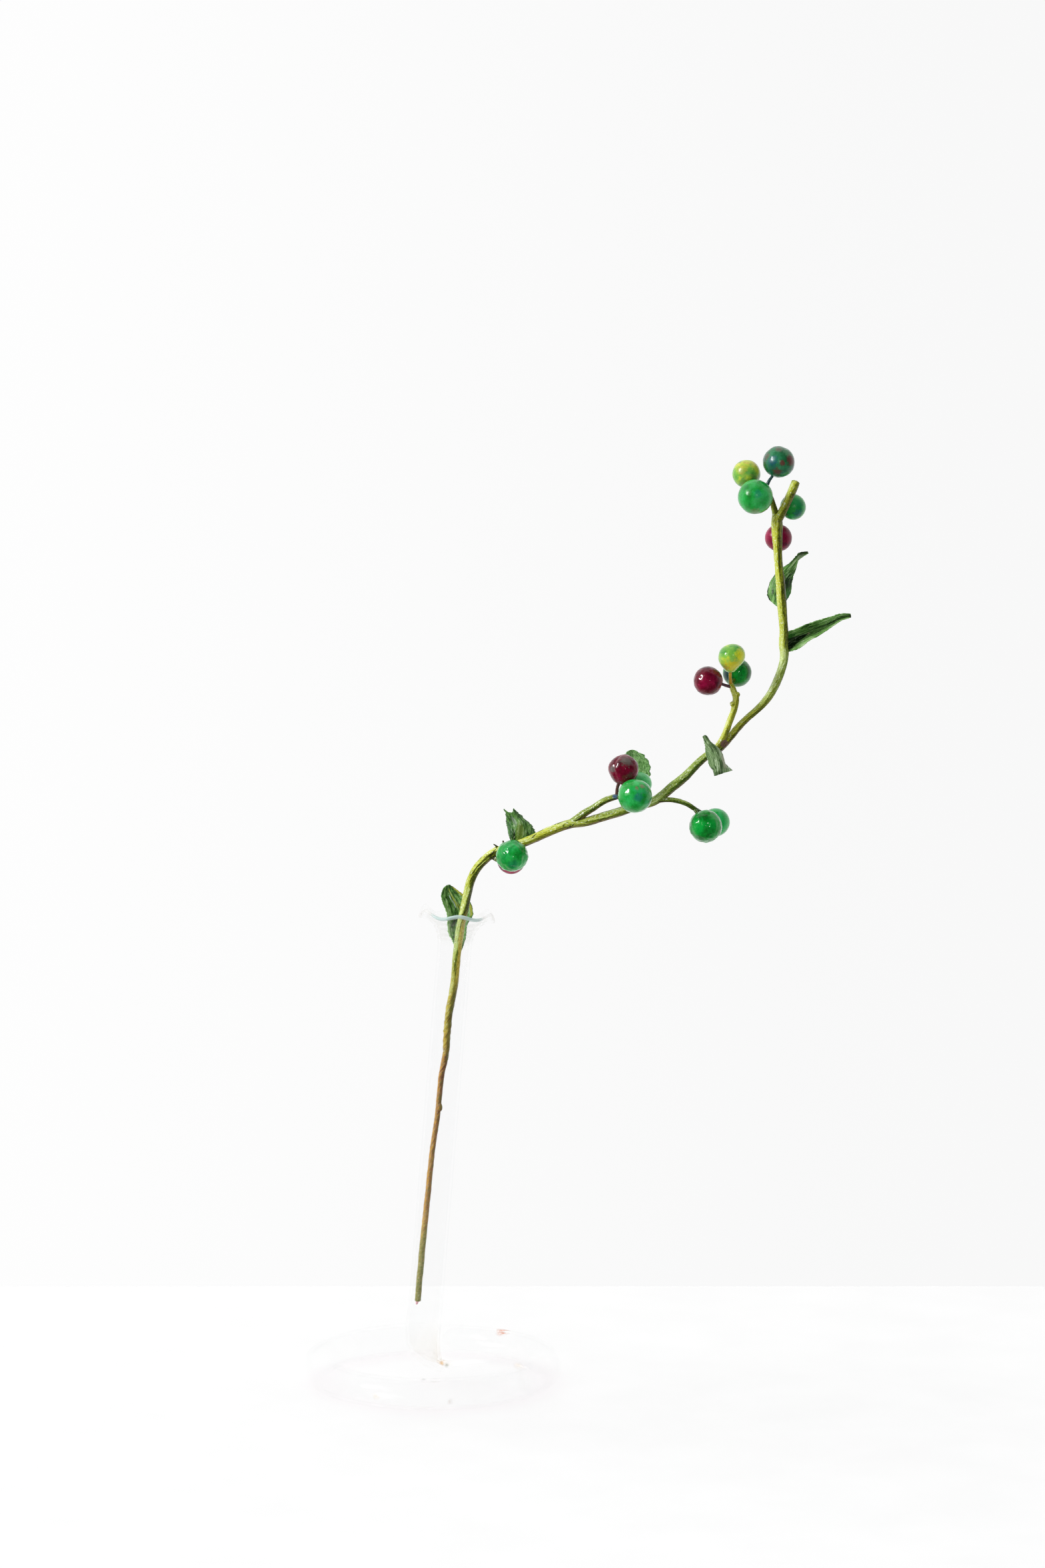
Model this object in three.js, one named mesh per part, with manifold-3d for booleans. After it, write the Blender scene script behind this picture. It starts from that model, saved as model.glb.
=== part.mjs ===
// A handmade chokeberry branch that stands in a lampworked glass bud vase.
// Millimetres, +Z up, +X to the viewer's right, +Y away from the viewer.
// All points are given from the centre of the vase's ring, on the surface that it stands on. The whole
// group is then moved so that the origin is under the middle of its box.
import * as THREE from "three";
import { mergeVertices } from "three/addons/utils/BufferGeometryUtils.js";
import Module from "manifold-3d";

const wasm = await Module();
wasm.setup();

// Driving dimensions.
const GAP = 0.3; // between a berry stalk or leaf base and the stem that carries it

const GLASS = {
  wall: 1.35,
  ringRadius: 51.3, // centre of the ring to the centre of its tube
  ringTube: 7.2, // radius of the ring's tube
  ringTubeRight: 6.4, // the ring's tube is drawn thinner towards its right-hand end
  pinchTube: 2.9, // radius where the ring's two ends are pinched and fused
  pinchAngle: 89.5, // degrees round from +X, behind the bud tube
  pinchSpan: 4.2, // degrees over which the tube draws in, on either side
  ringSides: 12,
  ringStep: 9, // degrees between the ring's cross-sections
  ringBoreSides: 8,
  ringBoreStart: 4, // degrees from the pinch to either end of the space inside the ring
  ringBoreSteps: 38,
  budTube: 7.7, // outer radius of the upright tube
  lean: 4.66, // degrees that the upright tube leans to the right
  neckHeight: 200,
  rimHeight: 213.5,
  rimRadius: 17,
  ruffles: 6,
  ruffleHeight: 2,
  ruffleTurn: 87, // degrees, turns the first wave to the front right
  drawnTube: 1.8, // outer radius of the thin tube
  drawnSides: 10,
  drawnStep: 3.4, // distance between the thin tube's cross-sections
  bore: 0.7, // radius of the channel inside the thin tube
  boreSides: 6,
};

const STEM = {
  sides: 8,
  step: 3.6, // distance between cross-sections
  wrapPitch: 8.5, // one turn of the paper strip
  wrapRelief: 0.07, // share of the radius that the strip's edge stands out
  crease: 0.03, // share of the radius that creases along the strip stand out
  creasePitch: 31, // distance over which the creases wind once round
  endRound: 0.6, // share of the radius at a cut end's face
  endBulge: 0.35, // share of the radius that a cut end bulges out
};

const LEAF = {
  thickness: 0.7,
  rows: 15,
  columns: 6,
  pleat: 0.22, // height of the pleats, to either side of the blade
};

const BERRY = {
  sides: 10,
  stalkRadius: 0.75,
  stalkTaper: 0.2,
  stations: [18, 38, 60, 82, 104, 126, 148, 166], // degrees from the stalk's side to the far pole
};

const COLOURS = {
  glass: 0xdfe9e6,
  stem: 0x8f9a2e,
  green: 0x2f9a4e,
  darkGreen: 0x1f4a2c,
  lime: 0x9bb52c,
  red: 0x7d0f2c,
  leaf: 0x3f7f3c,
  paleLeaf: 0x6aa35c,
};

// The stem's route: [right, back, up, radius], from its lower end inside the vase to the fork at the top.
const STEM_ROUTE = [
  [-6.5, 2.6, 36.5, 1.35],
  [-4.5, 2, 59, 1.4],
  [-2, 1, 83.5, 1.3],
  [0.5, 0, 107.5, 1.2],
  [2.5, -0.5, 121, 1.2],
  [4.5, -1.5, 140.5, 1.3],
  [6.5, -2, 151, 1.45],
  [7, -2.3, 160.5, 1.6],
  [8.5, -2.6, 172.5, 1.7],
  [10.3, -3, 183, 1.8],
  [11.6, -3.5, 196.5, 1.85],
  [12.5, -3.7, 203.5, 1.9],
  [13.5, -4, 210.5, 1.95],
  [14.8, -4.4, 216.5, 1.95],
  [16, -5, 222.5, 1.95],
  [17.6, -5.6, 229, 1.95],
  [20.5, -6.4, 235, 1.95],
  [24, -7.2, 239, 1.95],
  [28.5, -8, 242.5, 1.95],
  [34, -9, 244.5, 1.95],
  [40, -10, 246.7, 2],
  [46.5, -11, 249.5, 2.05],
  [54, -12, 253, 2.05],
  [61.5, -13, 255.8, 2.05],
  [69, -14, 257, 2],
  [76.5, -14.5, 259.3, 1.95],
  [83.5, -14.5, 261.4, 1.95],
  [91, -14.3, 264, 1.95],
  [98.3, -14, 266, 1.95],
  [102.7, -13.5, 269, 2],
  [107, -13, 272.6, 2.05],
  [112.5, -12, 277, 1.95],
  [117.7, -11, 282.3, 1.85],
  [122, -10.3, 285.8, 1.8],
  [125.2, -9.8, 287.2, 1.8],
  [129, -9, 290.3, 1.75],
  [132.4, -8.4, 294, 1.7],
  [135.7, -7.7, 298, 1.65],
  [139.7, -7, 302, 1.55],
  [143.5, -6.2, 305.2, 1.6],
  [147, -5.4, 308.5, 1.65],
  [150, -4.5, 312.3, 1.7],
  [152.5, -3.5, 317, 1.75],
  [154.3, -2.5, 321, 1.8],
  [155.8, -1.5, 325.5, 1.8],
  [156.4, -0.8, 329.6, 1.85],
  [156, 0, 334, 1.95],
  [156.2, 0.8, 339.5, 1.95],
  [155.8, 1.5, 345, 2],
  [155.5, 2, 349, 2.1],
  [154.9, 2.8, 355.5, 2.1],
  [154.5, 3.5, 362.3, 2],
  [153.8, 4.2, 369, 1.8],
  [153.4, 5, 375.7, 1.95],
  [153.1, 5.6, 382.5, 2.3],
  [153, 6.1, 387.5, 2.4],
  [152.9, 6.4, 391.5, 1.9],
];

// Twigs, the cut stub, a curl of loose paper and the bare wire's end, each rooted inside the stem.
const TWIGS = [
  [
    [152.9, 6.2, 389, 1.6],
    [151.5, 5.5, 394.5, 1.3],
    [150.4, 5, 398, 1.2],
    [149, 4.5, 401, 1.15],
    [148.2, 4.5, 403.6, 1.05],
  ],
  [
    [153.3, 6, 388.5, 2],
    [155.3, 5.5, 392.5, 1.9],
    [157.7, 4.5, 397.7, 1.85],
    [160, 4, 403, 1.95],
    [161, 4, 405.6, 1.9],
  ],
  [
    [126, -9.5, 288.3, 1.5],
    [129, -10, 293.3, 1.45],
    [130.6, -10.5, 297.3, 1.45],
    [132.4, -10.5, 302.4, 1.4],
    [134, -10, 306.9, 1.45],
    [134.7, -9.5, 311.6, 1.4],
    [133.4, -9, 315.4, 1.3],
    [132.5, -9, 317.5, 1.1],
  ],
  [
    [64.5, -13.6, 257.5, 1.6],
    [68, -14.3, 260.8, 1.5],
    [71.2, -15, 262.8, 1.5],
    [77, -16.5, 266.8, 1.45],
    [82.8, -17.5, 269, 1.3],
  ],
  [
    [98.5, -14, 265.6, 1.3],
    [104, -14.5, 266.7, 1.15],
    [108.5, -15, 266.6, 1.1],
    [113.2, -15, 265.1, 1.1],
    [116.9, -14.5, 262.7, 1],
  ],
  [
    [26.8, -8, 240.8, 1.3],
    [28.2, -9, 239.8, 1.15],
    [29.6, -10.3, 239, 1],
  ],
  [
    [30.6, -8.6, 243.6, 0.6],
    [29.4, -9, 245.2, 0.5],
    [28.3, -9.2, 246.1, 0.35],
  ],
  [
    [-6.5, 2.6, 36.8, 0.6],
    [-6.8, 2.7, 35.2, 0.5],
  ],
];

// Small knots and scars that stand out of the stem: [right, back, up, radius].
const KNOTS = [
  [4.6, -1, 126.3, 1.15],
  [7.8, -3.2, 183.6, 1.2],
  [6.2, -2.4, 160.8, 1],
  [14.2, -5.2, 214.5, 1.2],
  [29.2, -8.6, 244.2, 1.1],
  [133.2, -10.4, 309, 1.2],
  [135.4, -9.6, 313, 1.2],
  [155.4, 0.4, 336.5, 1.5],
];

// Berries: middle, radius, stalk points from the twig outwards, and colour. The stalk runs on into the
// berry along its axis. stretch draws the stalk's side of the berry out into a pear shape.
const BERRIES = {
  berry_crown_dark: {
    middle: [153.6, 6, 414.3],
    radius: 7,
    stalk: [[148.2, 4.5, 403], [149.3, 4.9, 406], [151.2, 5.4, 408.6]],
    colour: "darkGreen",
  },
  berry_crown_lime: {
    middle: [139.5, 9, 408.8],
    radius: 6.2,
    stalk: [[148.2, 4.5, 403], [145.6, 6.8, 405]],
    colour: "lime",
  },
  berry_crown_front: {
    middle: [143.1, -1.2, 399.7],
    radius: 7.7,
    stalk: [[150.4, 5, 398], [148.4, 2.8, 398.8]],
    colour: "green",
  },
  berry_crown_right: {
    middle: [160.4, 13.5, 393.7],
    radius: 5.7,
    stalk: [[153, 6.1, 388], [156, 9.5, 390.3]],
    colour: "green",
  },
  berry_crown_red: {
    middle: [154.1, 14.6, 379.8],
    radius: 6,
    stalk: [[153, 6, 386.5], [153.3, 9.8, 384.4]],
    colour: "red",
  },
  berry_fork_lime: {
    middle: [132.7, -10, 329.6],
    radius: 6,
    stretch: 1.12,
    stalk: [[132.6, -9, 316.6], [132.2, -9.3, 320], [132.2, -9.7, 323.5]],
    colour: "lime",
  },
  berry_fork_red: {
    middle: [122.3, -12.2, 319.4],
    radius: 6.4,
    stalk: [[132.8, -9, 316.4], [130.5, -9.8, 317], [128, -11, 318]],
    colour: "red",
  },
  berry_fork_green: {
    middle: [135.6, 1.4, 321.3],
    radius: 6.4,
    stalk: [[132.8, -9, 316.8], [133.6, -5.8, 318]],
    colour: "green",
  },
  berry_elbow_red: {
    middle: [85.1, -18.4, 280.9],
    radius: 6.6,
    stalk: [[82.2, -17.5, 269.2], [82.4, -17.8, 272.6]],
    colour: "red",
  },
  berry_elbow_back: {
    middle: [92.6, -10.6, 273.4],
    radius: 5.2,
    stalk: [[82.8, -17.3, 268.9], [86.2, -14.4, 269.9]],
    colour: "green",
  },
  berry_elbow_front: {
    middle: [90.1, -25.7, 270.3],
    radius: 7.5,
    stalk: [[82.8, -17.9, 268.8], [84.6, -20.4, 268.9]],
    colour: "green",
  },
  berry_hanging_front: {
    middle: [121.3, -19.2, 255.8],
    radius: 7.2,
    stalk: [[116.8, -14.9, 262.4], [117.8, -16.8, 260.4]],
    colour: "green",
  },
  berry_hanging_back: {
    middle: [126.2, -5.2, 255.4],
    radius: 6.3,
    stalk: [[117, -14.2, 262.7], [120.4, -11, 260.4]],
    colour: "green",
  },
  berry_bend_front: {
    middle: [36, -18.7, 242.6],
    radius: 7,
    stalk: [[29.2, -10, 239.2], [31, -12.6, 239.9]],
    colour: "green",
  },
  berry_bend_red: {
    middle: [35.6, -2.1, 237.8],
    radius: 6.2,
    stalk: [[29.2, -9.6, 239.2], [30.6, -7.4, 238.8]],
    colour: "red",
  },
};

// Leaves: each row is [one edge, middle, other edge], from the base to the tip.
const LEAVES = {
  leaf_behind: {
    colour: "leaf",
    teeth: 0.5,
    rails: [
      [[152.5, 5.6, 351.2], [153.6, 4.4, 350.4], [154.8, 5.6, 351.4]],
      [[149.2, 8, 354], [153.8, 5.6, 354.6], [157.6, 8.4, 352.8]],
      [[149.3, 9.5, 357.8], [154.2, 6.6, 359], [159.2, 10.4, 355.8]],
      [[150.8, 10, 361.8], [155.5, 7.6, 363], [160, 11, 360.6]],
      [[154.6, 10.5, 366], [157.8, 8.6, 365.5], [160.8, 11, 363.7]],
      [[158.7, 10.5, 368.8], [160.2, 9.6, 368], [161.8, 11, 366.9]],
      [[161, 10.5, 371.3], [161.9, 10, 370.5], [162.7, 10.5, 370.2]],
      [[163.4, 10.5, 373.8], [164.6, 10.2, 373.1], [165.2, 10.5, 372.2]],
      [[166.9, 10.6, 374.2], [167.1, 10.5, 373.8], [167.2, 10.6, 373.3]],
    ],
  },
  leaf_side: {
    colour: "leaf",
    teeth: 0.35,
    rails: [
      [[156.9, 1.6, 339.2], [156.6, 1.2, 334.6], [156.4, 0.4, 330]],
      [[160.2, 1, 340.5], [160, 4.5, 336], [160, -1, 331.4]],
      [[164, 1.5, 341.9], [164.2, 5.5, 337.7], [163.2, -0.5, 332.4]],
      [[168, 2.5, 343.4], [168.4, 6, 339.3], [167.7, 1, 335.7]],
      [[172.4, 4, 344.7], [172.8, 6.6, 341], [172.4, 3, 338]],
      [[176.9, 5.5, 345.7], [177.5, 7.4, 343], [177.5, 5, 341.2]],
      [[181.1, 7, 346.8], [181.4, 8.4, 344.9], [182, 7, 343.9]],
      [[186, 9, 346.6], [186.2, 9.4, 345.9], [186.3, 9, 345]],
    ],
  },
  leaf_wrap: {
    colour: "leaf",
    teeth: 0.3,
    rails: [
      [[120, -13.6, 295], [121, -14, 295.6], [121.8, -13.6, 295.2]],
      [[120.9, -14, 292.2], [122.8, -15, 292.8], [123.6, -14, 292.4]],
      [[121.2, -13.8, 289.2], [125.4, -14.9, 290.1], [126.7, -13.4, 289.7]],
      [[121.8, -13.4, 286.1], [126.6, -15.1, 287.1], [128.9, -12.8, 286.8]],
      [[122.8, -13.2, 282.5], [127.6, -15.1, 283.5], [129.8, -11.6, 283]],
      [[124.5, -13.2, 280.1], [127.9, -14.9, 280.7], [131.5, -10.7, 281]],
      [[125.5, -13.4, 277.3], [128, -14.2, 278.3], [133.4, -10.2, 279.3]],
    ],
  },
  leaf_round: {
    colour: "paleLeaf",
    teeth: 0.4,
    rails: [
      [[90, -13, 264.8], [90.8, -13, 264.4], [91.6, -13, 264.8]],
      [[87, -7.2, 268.3], [90.9, -6.4, 268.2], [94.4, -6.2, 268.5]],
      [[84.9, -4.2, 272.9], [90.6, -3.8, 272.9], [96.5, -3.6, 273.5]],
      [[83.7, -3.5, 278], [90.6, -2, 277.4], [97.2, -3, 278.3]],
      [[83.8, -4, 282.2], [90.3, -2, 281.6], [96.3, -3.5, 282.5]],
      [[86.2, -4, 286], [89.6, -2.8, 285.1], [93.5, -4, 285.7]],
      [[88.2, -4, 287.3], [89.2, -3.6, 287.6], [90.4, -4, 287.2]],
    ],
  },
  leaf_folded: {
    colour: "leaf",
    teeth: 0.4,
    rails: [
      [[35.6, -7.6, 246.8], [37.8, -8.2, 246.6], [40.4, -7.8, 247.4]],
      [[34.6, -6, 250.4], [38.4, -9.6, 250.8], [46, -4.6, 250.4]],
      [[33.9, -5, 252.9], [38.6, -9.5, 253.8], [45.1, -4, 253.2]],
      [[33.4, -5.4, 255.9], [37.9, -9, 256.4], [42.4, -4.5, 256]],
      [[33.4, -6.4, 258.4], [36.4, -8.5, 258.6], [39.4, -5, 259.1]],
      [[32.3, -8.4, 262], [35.4, -8, 260.1], [36.6, -6, 261.7]],
    ],
  },
  leaf_mouth: {
    colour: "leaf",
    teeth: 0.3,
    rails: [
      [[10.5, -2.2, 198.7], [12, -2.4, 197.6], [13.5, -2.2, 197]],
      [[9.2, 0.5, 201.6], [12, 1, 200.8], [14.8, 0.4, 200.4]],
      [[7.6, 2.2, 204.7], [11.9, 3.6, 204.2], [15.6, 1.4, 203.8]],
      [[7.2, 3, 208.4], [11.9, 4.8, 207.9], [16, 1.6, 208]],
      [[7, 3.5, 212.6], [12.6, 5.5, 212.5], [18.6, 1.9, 212.9]],
      [[5.5, 4, 216.5], [11.7, 5.8, 216.3], [17.9, 2.4, 217]],
      [[4.4, 4, 220.9], [9.8, 5.4, 220.1], [15.6, 3, 220.3]],
      [[5.7, 4, 224.4], [8.2, 4.8, 223.4], [12.2, 3.7, 223]],
      [[7, 4.1, 225.4], [8, 4.5, 225.7], [8.9, 4.2, 225.1]],
    ],
  },
};

const degrees = THREE.MathUtils.degToRad;
const vector = ([right, back, up]) => new THREE.Vector3(right, back, up);

// A closed skin over rings of points, which run anticlockwise seen from the far end. A loop joins its
// last ring to its first, and any other skin is closed by a fan at each end.
function skin(rings, loop = false) {
  const sides = rings[0].length;
  const positions = rings.flat().flatMap((p) => [p.x, p.y, p.z]);
  const faces = [];
  const last = loop ? rings.length : rings.length - 1;
  for (let i = 0; i < last; i++) {
    const low = i * sides;
    const high = ((i + 1) % rings.length) * sides;
    for (let j = 0; j < sides; j++) {
      const next = (j + 1) % sides;
      faces.push(low + j, low + next, high + next, low + j, high + next, high + j);
    }
  }
  if (!loop) {
    const ends = [rings[0], rings[rings.length - 1]];
    ends.forEach((ring, end) => {
      const middle = ring.reduce((sum, p) => sum.add(p), new THREE.Vector3()).divideScalar(sides);
      const hub = positions.length / 3;
      positions.push(middle.x, middle.y, middle.z);
      const start = end * (rings.length - 1) * sides;
      for (let j = 0; j < sides; j++) {
        const next = (j + 1) % sides;
        if (end) faces.push(hub, start + j, start + next);
        else faces.push(hub, start + next, start + j);
      }
    });
  }
  const geometry = new THREE.BufferGeometry();
  geometry.setAttribute("position", new THREE.Float32BufferAttribute(positions, 3));
  geometry.setIndex(faces);
  return geometry;
}

function solid(geometry) {
  const merged = mergeVertices(geometry, 1e-4);
  const mesh = new wasm.Mesh({
    numProp: 3,
    vertProperties: merged.attributes.position.array,
    triVerts: new Uint32Array(merged.index.array),
  });
  return new wasm.Manifold(mesh);
}

function geometryOf(body) {
  const mesh = body.getMesh();
  const geometry = new THREE.BufferGeometry();
  geometry.setAttribute("position", new THREE.BufferAttribute(mesh.vertProperties, 3));
  geometry.setIndex(new THREE.BufferAttribute(mesh.triVerts, 1));
  return geometry;
}

const join = (bodies) => bodies.reduce((whole, body) => whole.add(body));

// A round bar along a route of [right, back, up, radius] points. relief(angle, distance) scales the
// radius, grow is added to it, and both ends are rounded off.
function bar(route, { sides, step, relief = () => 1, grow = 0 }) {
  const curve = new THREE.CatmullRomCurve3(route.map(vector), false, "centripetal");
  const length = curve.getLength();
  const steps = Math.max(3, Math.round(length / step));
  const frames = curve.computeFrenetFrames(steps, false);
  const radii = new THREE.CatmullRomCurve3(
    route.map((p, i) => new THREE.Vector3(i, p[3], 0)),
    false,
    "centripetal",
  );
  const rings = [];
  const ring = (u, index, scale, shift) => {
    const middle = curve.getPointAt(u).addScaledVector(frames.tangents[index], shift);
    const radius = radii.getPoint(curve.getUtoTmapping(u)).y * scale + grow;
    return Array.from({ length: sides }, (_, j) => {
      const angle = (2 * Math.PI * j) / sides;
      const out = radius * relief(angle, u * length);
      return middle
        .clone()
        .addScaledVector(frames.normals[index], out * Math.cos(angle))
        .addScaledVector(frames.binormals[index], out * Math.sin(angle));
    });
  };
  const { endRound, endBulge } = STEM;
  const lastRadius = route[route.length - 1][3];
  rings.push(ring(0, 0, endRound, -grow - endBulge * route[0][3]));
  for (let i = 0; i <= steps; i++) rings.push(ring(i / steps, i, 1, 0));
  rings.push(ring(1, steps, endRound, grow + endBulge * lastRadius));
  return solid(skin(rings));
}

// The paper strip winds up the stem: its overlapping edge stands out and then falls away to the next turn.
function wrapRelief(angle, distance) {
  const turn = distance / STEM.wrapPitch + angle / (2 * Math.PI);
  const within = turn - Math.floor(turn);
  const creases = Math.sin(3 * angle + (2 * Math.PI * distance) / STEM.creasePitch);
  return 1 + STEM.wrapRelief * (0.5 - within) + STEM.crease * creases;
}

function knot([right, back, up, radius], grow) {
  const ball = new THREE.IcosahedronGeometry(radius + grow, 1);
  ball.deleteAttribute("normal");
  ball.deleteAttribute("uv");
  ball.translate(right, back, up);
  return solid(ball);
}

function stemBody(grow = 0) {
  const main = bar(STEM_ROUTE, { sides: STEM.sides, step: STEM.step, relief: wrapRelief, grow });
  const twigs = TWIGS.map((route) => bar(route, { sides: STEM.sides - 1, step: STEM.step, grow }));
  return join([main, ...twigs, ...KNOTS.map((k) => knot(k, grow))]);
}

// A berry and its stalk are one skin round a route: thin along the stalk, then round like a bead.
function berryBody({ middle, radius, stalk, stretch = 1 }) {
  const centre = vector(middle);
  const foot = vector(stalk[stalk.length - 1]);
  const axis = centre.clone().sub(foot).normalize();
  const route = [...stalk.map(vector), centre];
  const curve = new THREE.CatmullRomCurve3(route, false, "centripetal");
  const side = new THREE.Vector3(0, 0, 1).cross(axis);
  if (side.lengthSq() < 0.01) side.set(1, 0, 0);
  side.normalize();
  const other = axis.clone().cross(side);
  const { sides, stalkRadius, stalkTaper, stations } = BERRY;
  const ring = (at, r) =>
    Array.from({ length: sides }, (_, j) => {
      const angle = (2 * Math.PI * j) / sides;
      return at
        .clone()
        .addScaledVector(side, r * Math.cos(angle))
        .addScaledVector(other, r * Math.sin(angle));
    });
  const shoulder = centre.clone().addScaledVector(axis, -radius * stretch);
  const reach = shoulder.distanceTo(route[0]) / curve.getLength();
  const rings = [0, 0.4, 0.8].map((u) =>
    ring(curve.getPointAt(u * reach), stalkRadius * (1 - stalkTaper * u)),
  );
  rings.push(ring(shoulder, stalkRadius));
  for (const angle of stations) {
    const turn = degrees(angle);
    const behind = angle < 90 ? stretch : 1;
    const at = centre.clone().addScaledVector(axis, -radius * behind * Math.cos(turn));
    rings.push(ring(at, radius * Math.sin(turn)));
  }
  return solid(skin(rings));
}

// The middle sheet of a leaf: rows of points that bow through its three rails. Every other row stands
// out at both edges as a tooth.
function leafSheet({ rails, teeth }) {
  const rail = (k) =>
    new THREE.CatmullRomCurve3(
      rails.map((row) => vector(row[k])),
      false,
      "centripetal",
    );
  const [left, mid, right] = [rail(0), rail(1), rail(2)];
  const { rows, columns } = LEAF;
  const sheet = [];
  for (let i = 0; i <= rows; i++) {
    const u = i / rows;
    const [l, m, r] = [left.getPoint(u), mid.getPoint(u), right.getPoint(u)];
    const inside = i > 0 && i < rows;
    const row = [];
    for (let j = 0; j <= columns; j++) {
      const t = (2 * j) / columns - 1;
      const half = r.clone().sub(l).multiplyScalar(t / 2);
      const bow = l.clone().add(r).multiplyScalar(0.5).sub(m).multiplyScalar(t * t);
      const point = m.clone().add(half).add(bow);
      const edge = Math.abs(t) === 1;
      if (edge && inside && i % 2) {
        const out = point.clone().sub(m).normalize();
        point.addScaledVector(out, teeth);
      }
      row.push(point);
    }
    sheet.push(row);
  }
  return sheet;
}

// A leaf is a thin blade round its middle sheet, with pleats from base to tip. Both faces are split alike.
function leafBody(leaf) {
  const { rows, columns, thickness, pleat } = LEAF;
  const { clamp } = THREE.MathUtils;
  const sheet = leafSheet(leaf);
  const at = (i, j) => sheet[clamp(i, 0, rows)][clamp(j, 0, columns)];
  const faceOut = (i, j) => {
    const along = at(i + 1, j).clone().sub(at(i - 1, j));
    const across = at(i, j + 1).clone().sub(at(i, j - 1));
    return across.cross(along).normalize();
  };
  const lift = (i, j, side) => {
    const fade = Math.sin((Math.PI * i) / rows);
    const fold = (j % 2 ? 1 : -1) * pleat * fade;
    return at(i, j).clone().addScaledVector(faceOut(i, j), fold + (side * thickness) / 2);
  };
  const positions = [];
  for (const side of [1, -1])
    for (let i = 0; i <= rows; i++)
      for (let j = 0; j <= columns; j++) {
        const p = lift(i, j, side);
        positions.push(p.x, p.y, p.z);
      }
  const index = (side, i, j) => side * (rows + 1) * (columns + 1) + i * (columns + 1) + j;
  const faces = [];
  for (let i = 0; i < rows; i++)
    for (let j = 0; j < columns; j++) {
      const corners = (side) => [
        index(side, i, j),
        index(side, i, j + 1),
        index(side, i + 1, j + 1),
        index(side, i + 1, j),
      ];
      const [a, b, c, d] = corners(0);
      faces.push(a, b, c, a, c, d);
      const [e, f, g, h] = corners(1);
      faces.push(e, g, f, e, h, g);
    }
  const rim = [];
  for (let j = 0; j < columns; j++) rim.push([0, j]);
  for (let i = 0; i < rows; i++) rim.push([i, columns]);
  for (let j = columns; j > 0; j--) rim.push([rows, j]);
  for (let i = rows; i > 0; i--) rim.push([i, 0]);
  rim.forEach(([i, j], k) => {
    const [ni, nj] = rim[(k + 1) % rim.length];
    const [a, b] = [index(0, i, j), index(0, ni, nj)];
    const [c, d] = [index(1, i, j), index(1, ni, nj)];
    faces.push(a, c, d, a, d, b);
  });
  const geometry = new THREE.BufferGeometry();
  geometry.setAttribute("position", new THREE.Float32BufferAttribute(positions, 3));
  geometry.setIndex(faces);
  return solid(geometry);
}

// The bud tube leans: this carries a point from the tube's own upright frame to the vase's.
const TUBE_FOOT = new THREE.Vector3(-5.8, 0, 0);
const tubePlace = new THREE.Matrix4()
  .makeRotationY(degrees(GLASS.lean))
  .setPosition(TUBE_FOOT);

function tubeRing({ height, radius, shift = 0, wave = 0 }) {
  const sides = 6 * GLASS.ruffles;
  return Array.from({ length: sides }, (_, j) => {
    const angle = (2 * Math.PI * j) / sides;
    const ripple = Math.cos(GLASS.ruffles * (angle + degrees(GLASS.ruffleTurn)));
    const point = new THREE.Vector3(
      shift + radius * Math.cos(angle),
      radius * Math.sin(angle),
      height + wave * GLASS.ruffleHeight * ripple,
    );
    return point.applyMatrix4(tubePlace);
  });
}

// The bud tube's skin goes up its outside, over the ruffled lip and down its inside.
function budTube() {
  const { budTube: outer, wall, neckHeight, rimHeight, rimRadius } = GLASS;
  const inner = outer - wall;
  const outside = [
    { height: 5.6, radius: 1.6, shift: 8.6 },
    { height: 6.6, radius: 3.4, shift: 7.4 },
    { height: 8.4, radius: 5, shift: 5.2 },
    { height: 11.5, radius: 6.3, shift: 2.8 },
    { height: 15, radius: 7.2, shift: 1 },
    { height: 20, radius: outer, shift: 0 },
    { height: neckHeight, radius: outer },
    { height: neckHeight + 4, radius: outer + 0.5, wave: 0.04 },
    { height: neckHeight + 7, radius: outer + 1.6, wave: 0.12 },
    { height: neckHeight + 9.6, radius: outer + 3.2, wave: 0.3 },
    { height: neckHeight + 11.8, radius: outer + 5.8, wave: 0.62 },
    { height: rimHeight - 0.4, radius: rimRadius - 0.2, wave: 1 },
  ];
  const inside = [
    { height: rimHeight + 0.6, radius: rimRadius - 0.3, wave: 1 },
    { height: rimHeight - 0.1, radius: rimRadius - 2.4, wave: 0.85 },
    { height: neckHeight + 11.9, radius: outer + 4.2, wave: 0.6 },
    { height: neckHeight + 9.8, radius: inner + 3, wave: 0.3 },
    { height: neckHeight + 7, radius: inner + 1.5, wave: 0.12 },
    { height: neckHeight + 4, radius: inner + 0.5, wave: 0.04 },
    { height: neckHeight, radius: inner },
    { height: 20.5, radius: inner, shift: 0 },
    { height: 15.6, radius: 5.7, shift: 1.1 },
    { height: 12.4, radius: 4.3, shift: 3 },
    { height: 10.2, radius: 2.2, shift: 5 },
  ];
  return solid(skin([...outside, ...inside].map(tubeRing)));
}

// The thin tube runs from the bud tube's pulled tip to the upper inner side of the ring.
const DRAWN_ROUTE = [
  [4.2, -0.4, 8.2],
  [7.5, -1, 7.9],
  [13.5, -3, 9.2],
  [20.6, -6, 10.7],
  [27, -9.6, 11.5],
  [33, -13.6, 11.8],
  [38.5, -17.6, 11.8],
  [42.6, -20.8, 10.6],
];
const BORE_START = [
  [-1.2, 0, 13],
  [1, 0, 10.2],
];
const BORE_END = [[45, -22, 8.8]];

function drawnTube(route, radius, sides) {
  return bar(
    route.map((p) => [...p, radius]),
    { sides, step: GLASS.drawnStep },
  );
}

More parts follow.
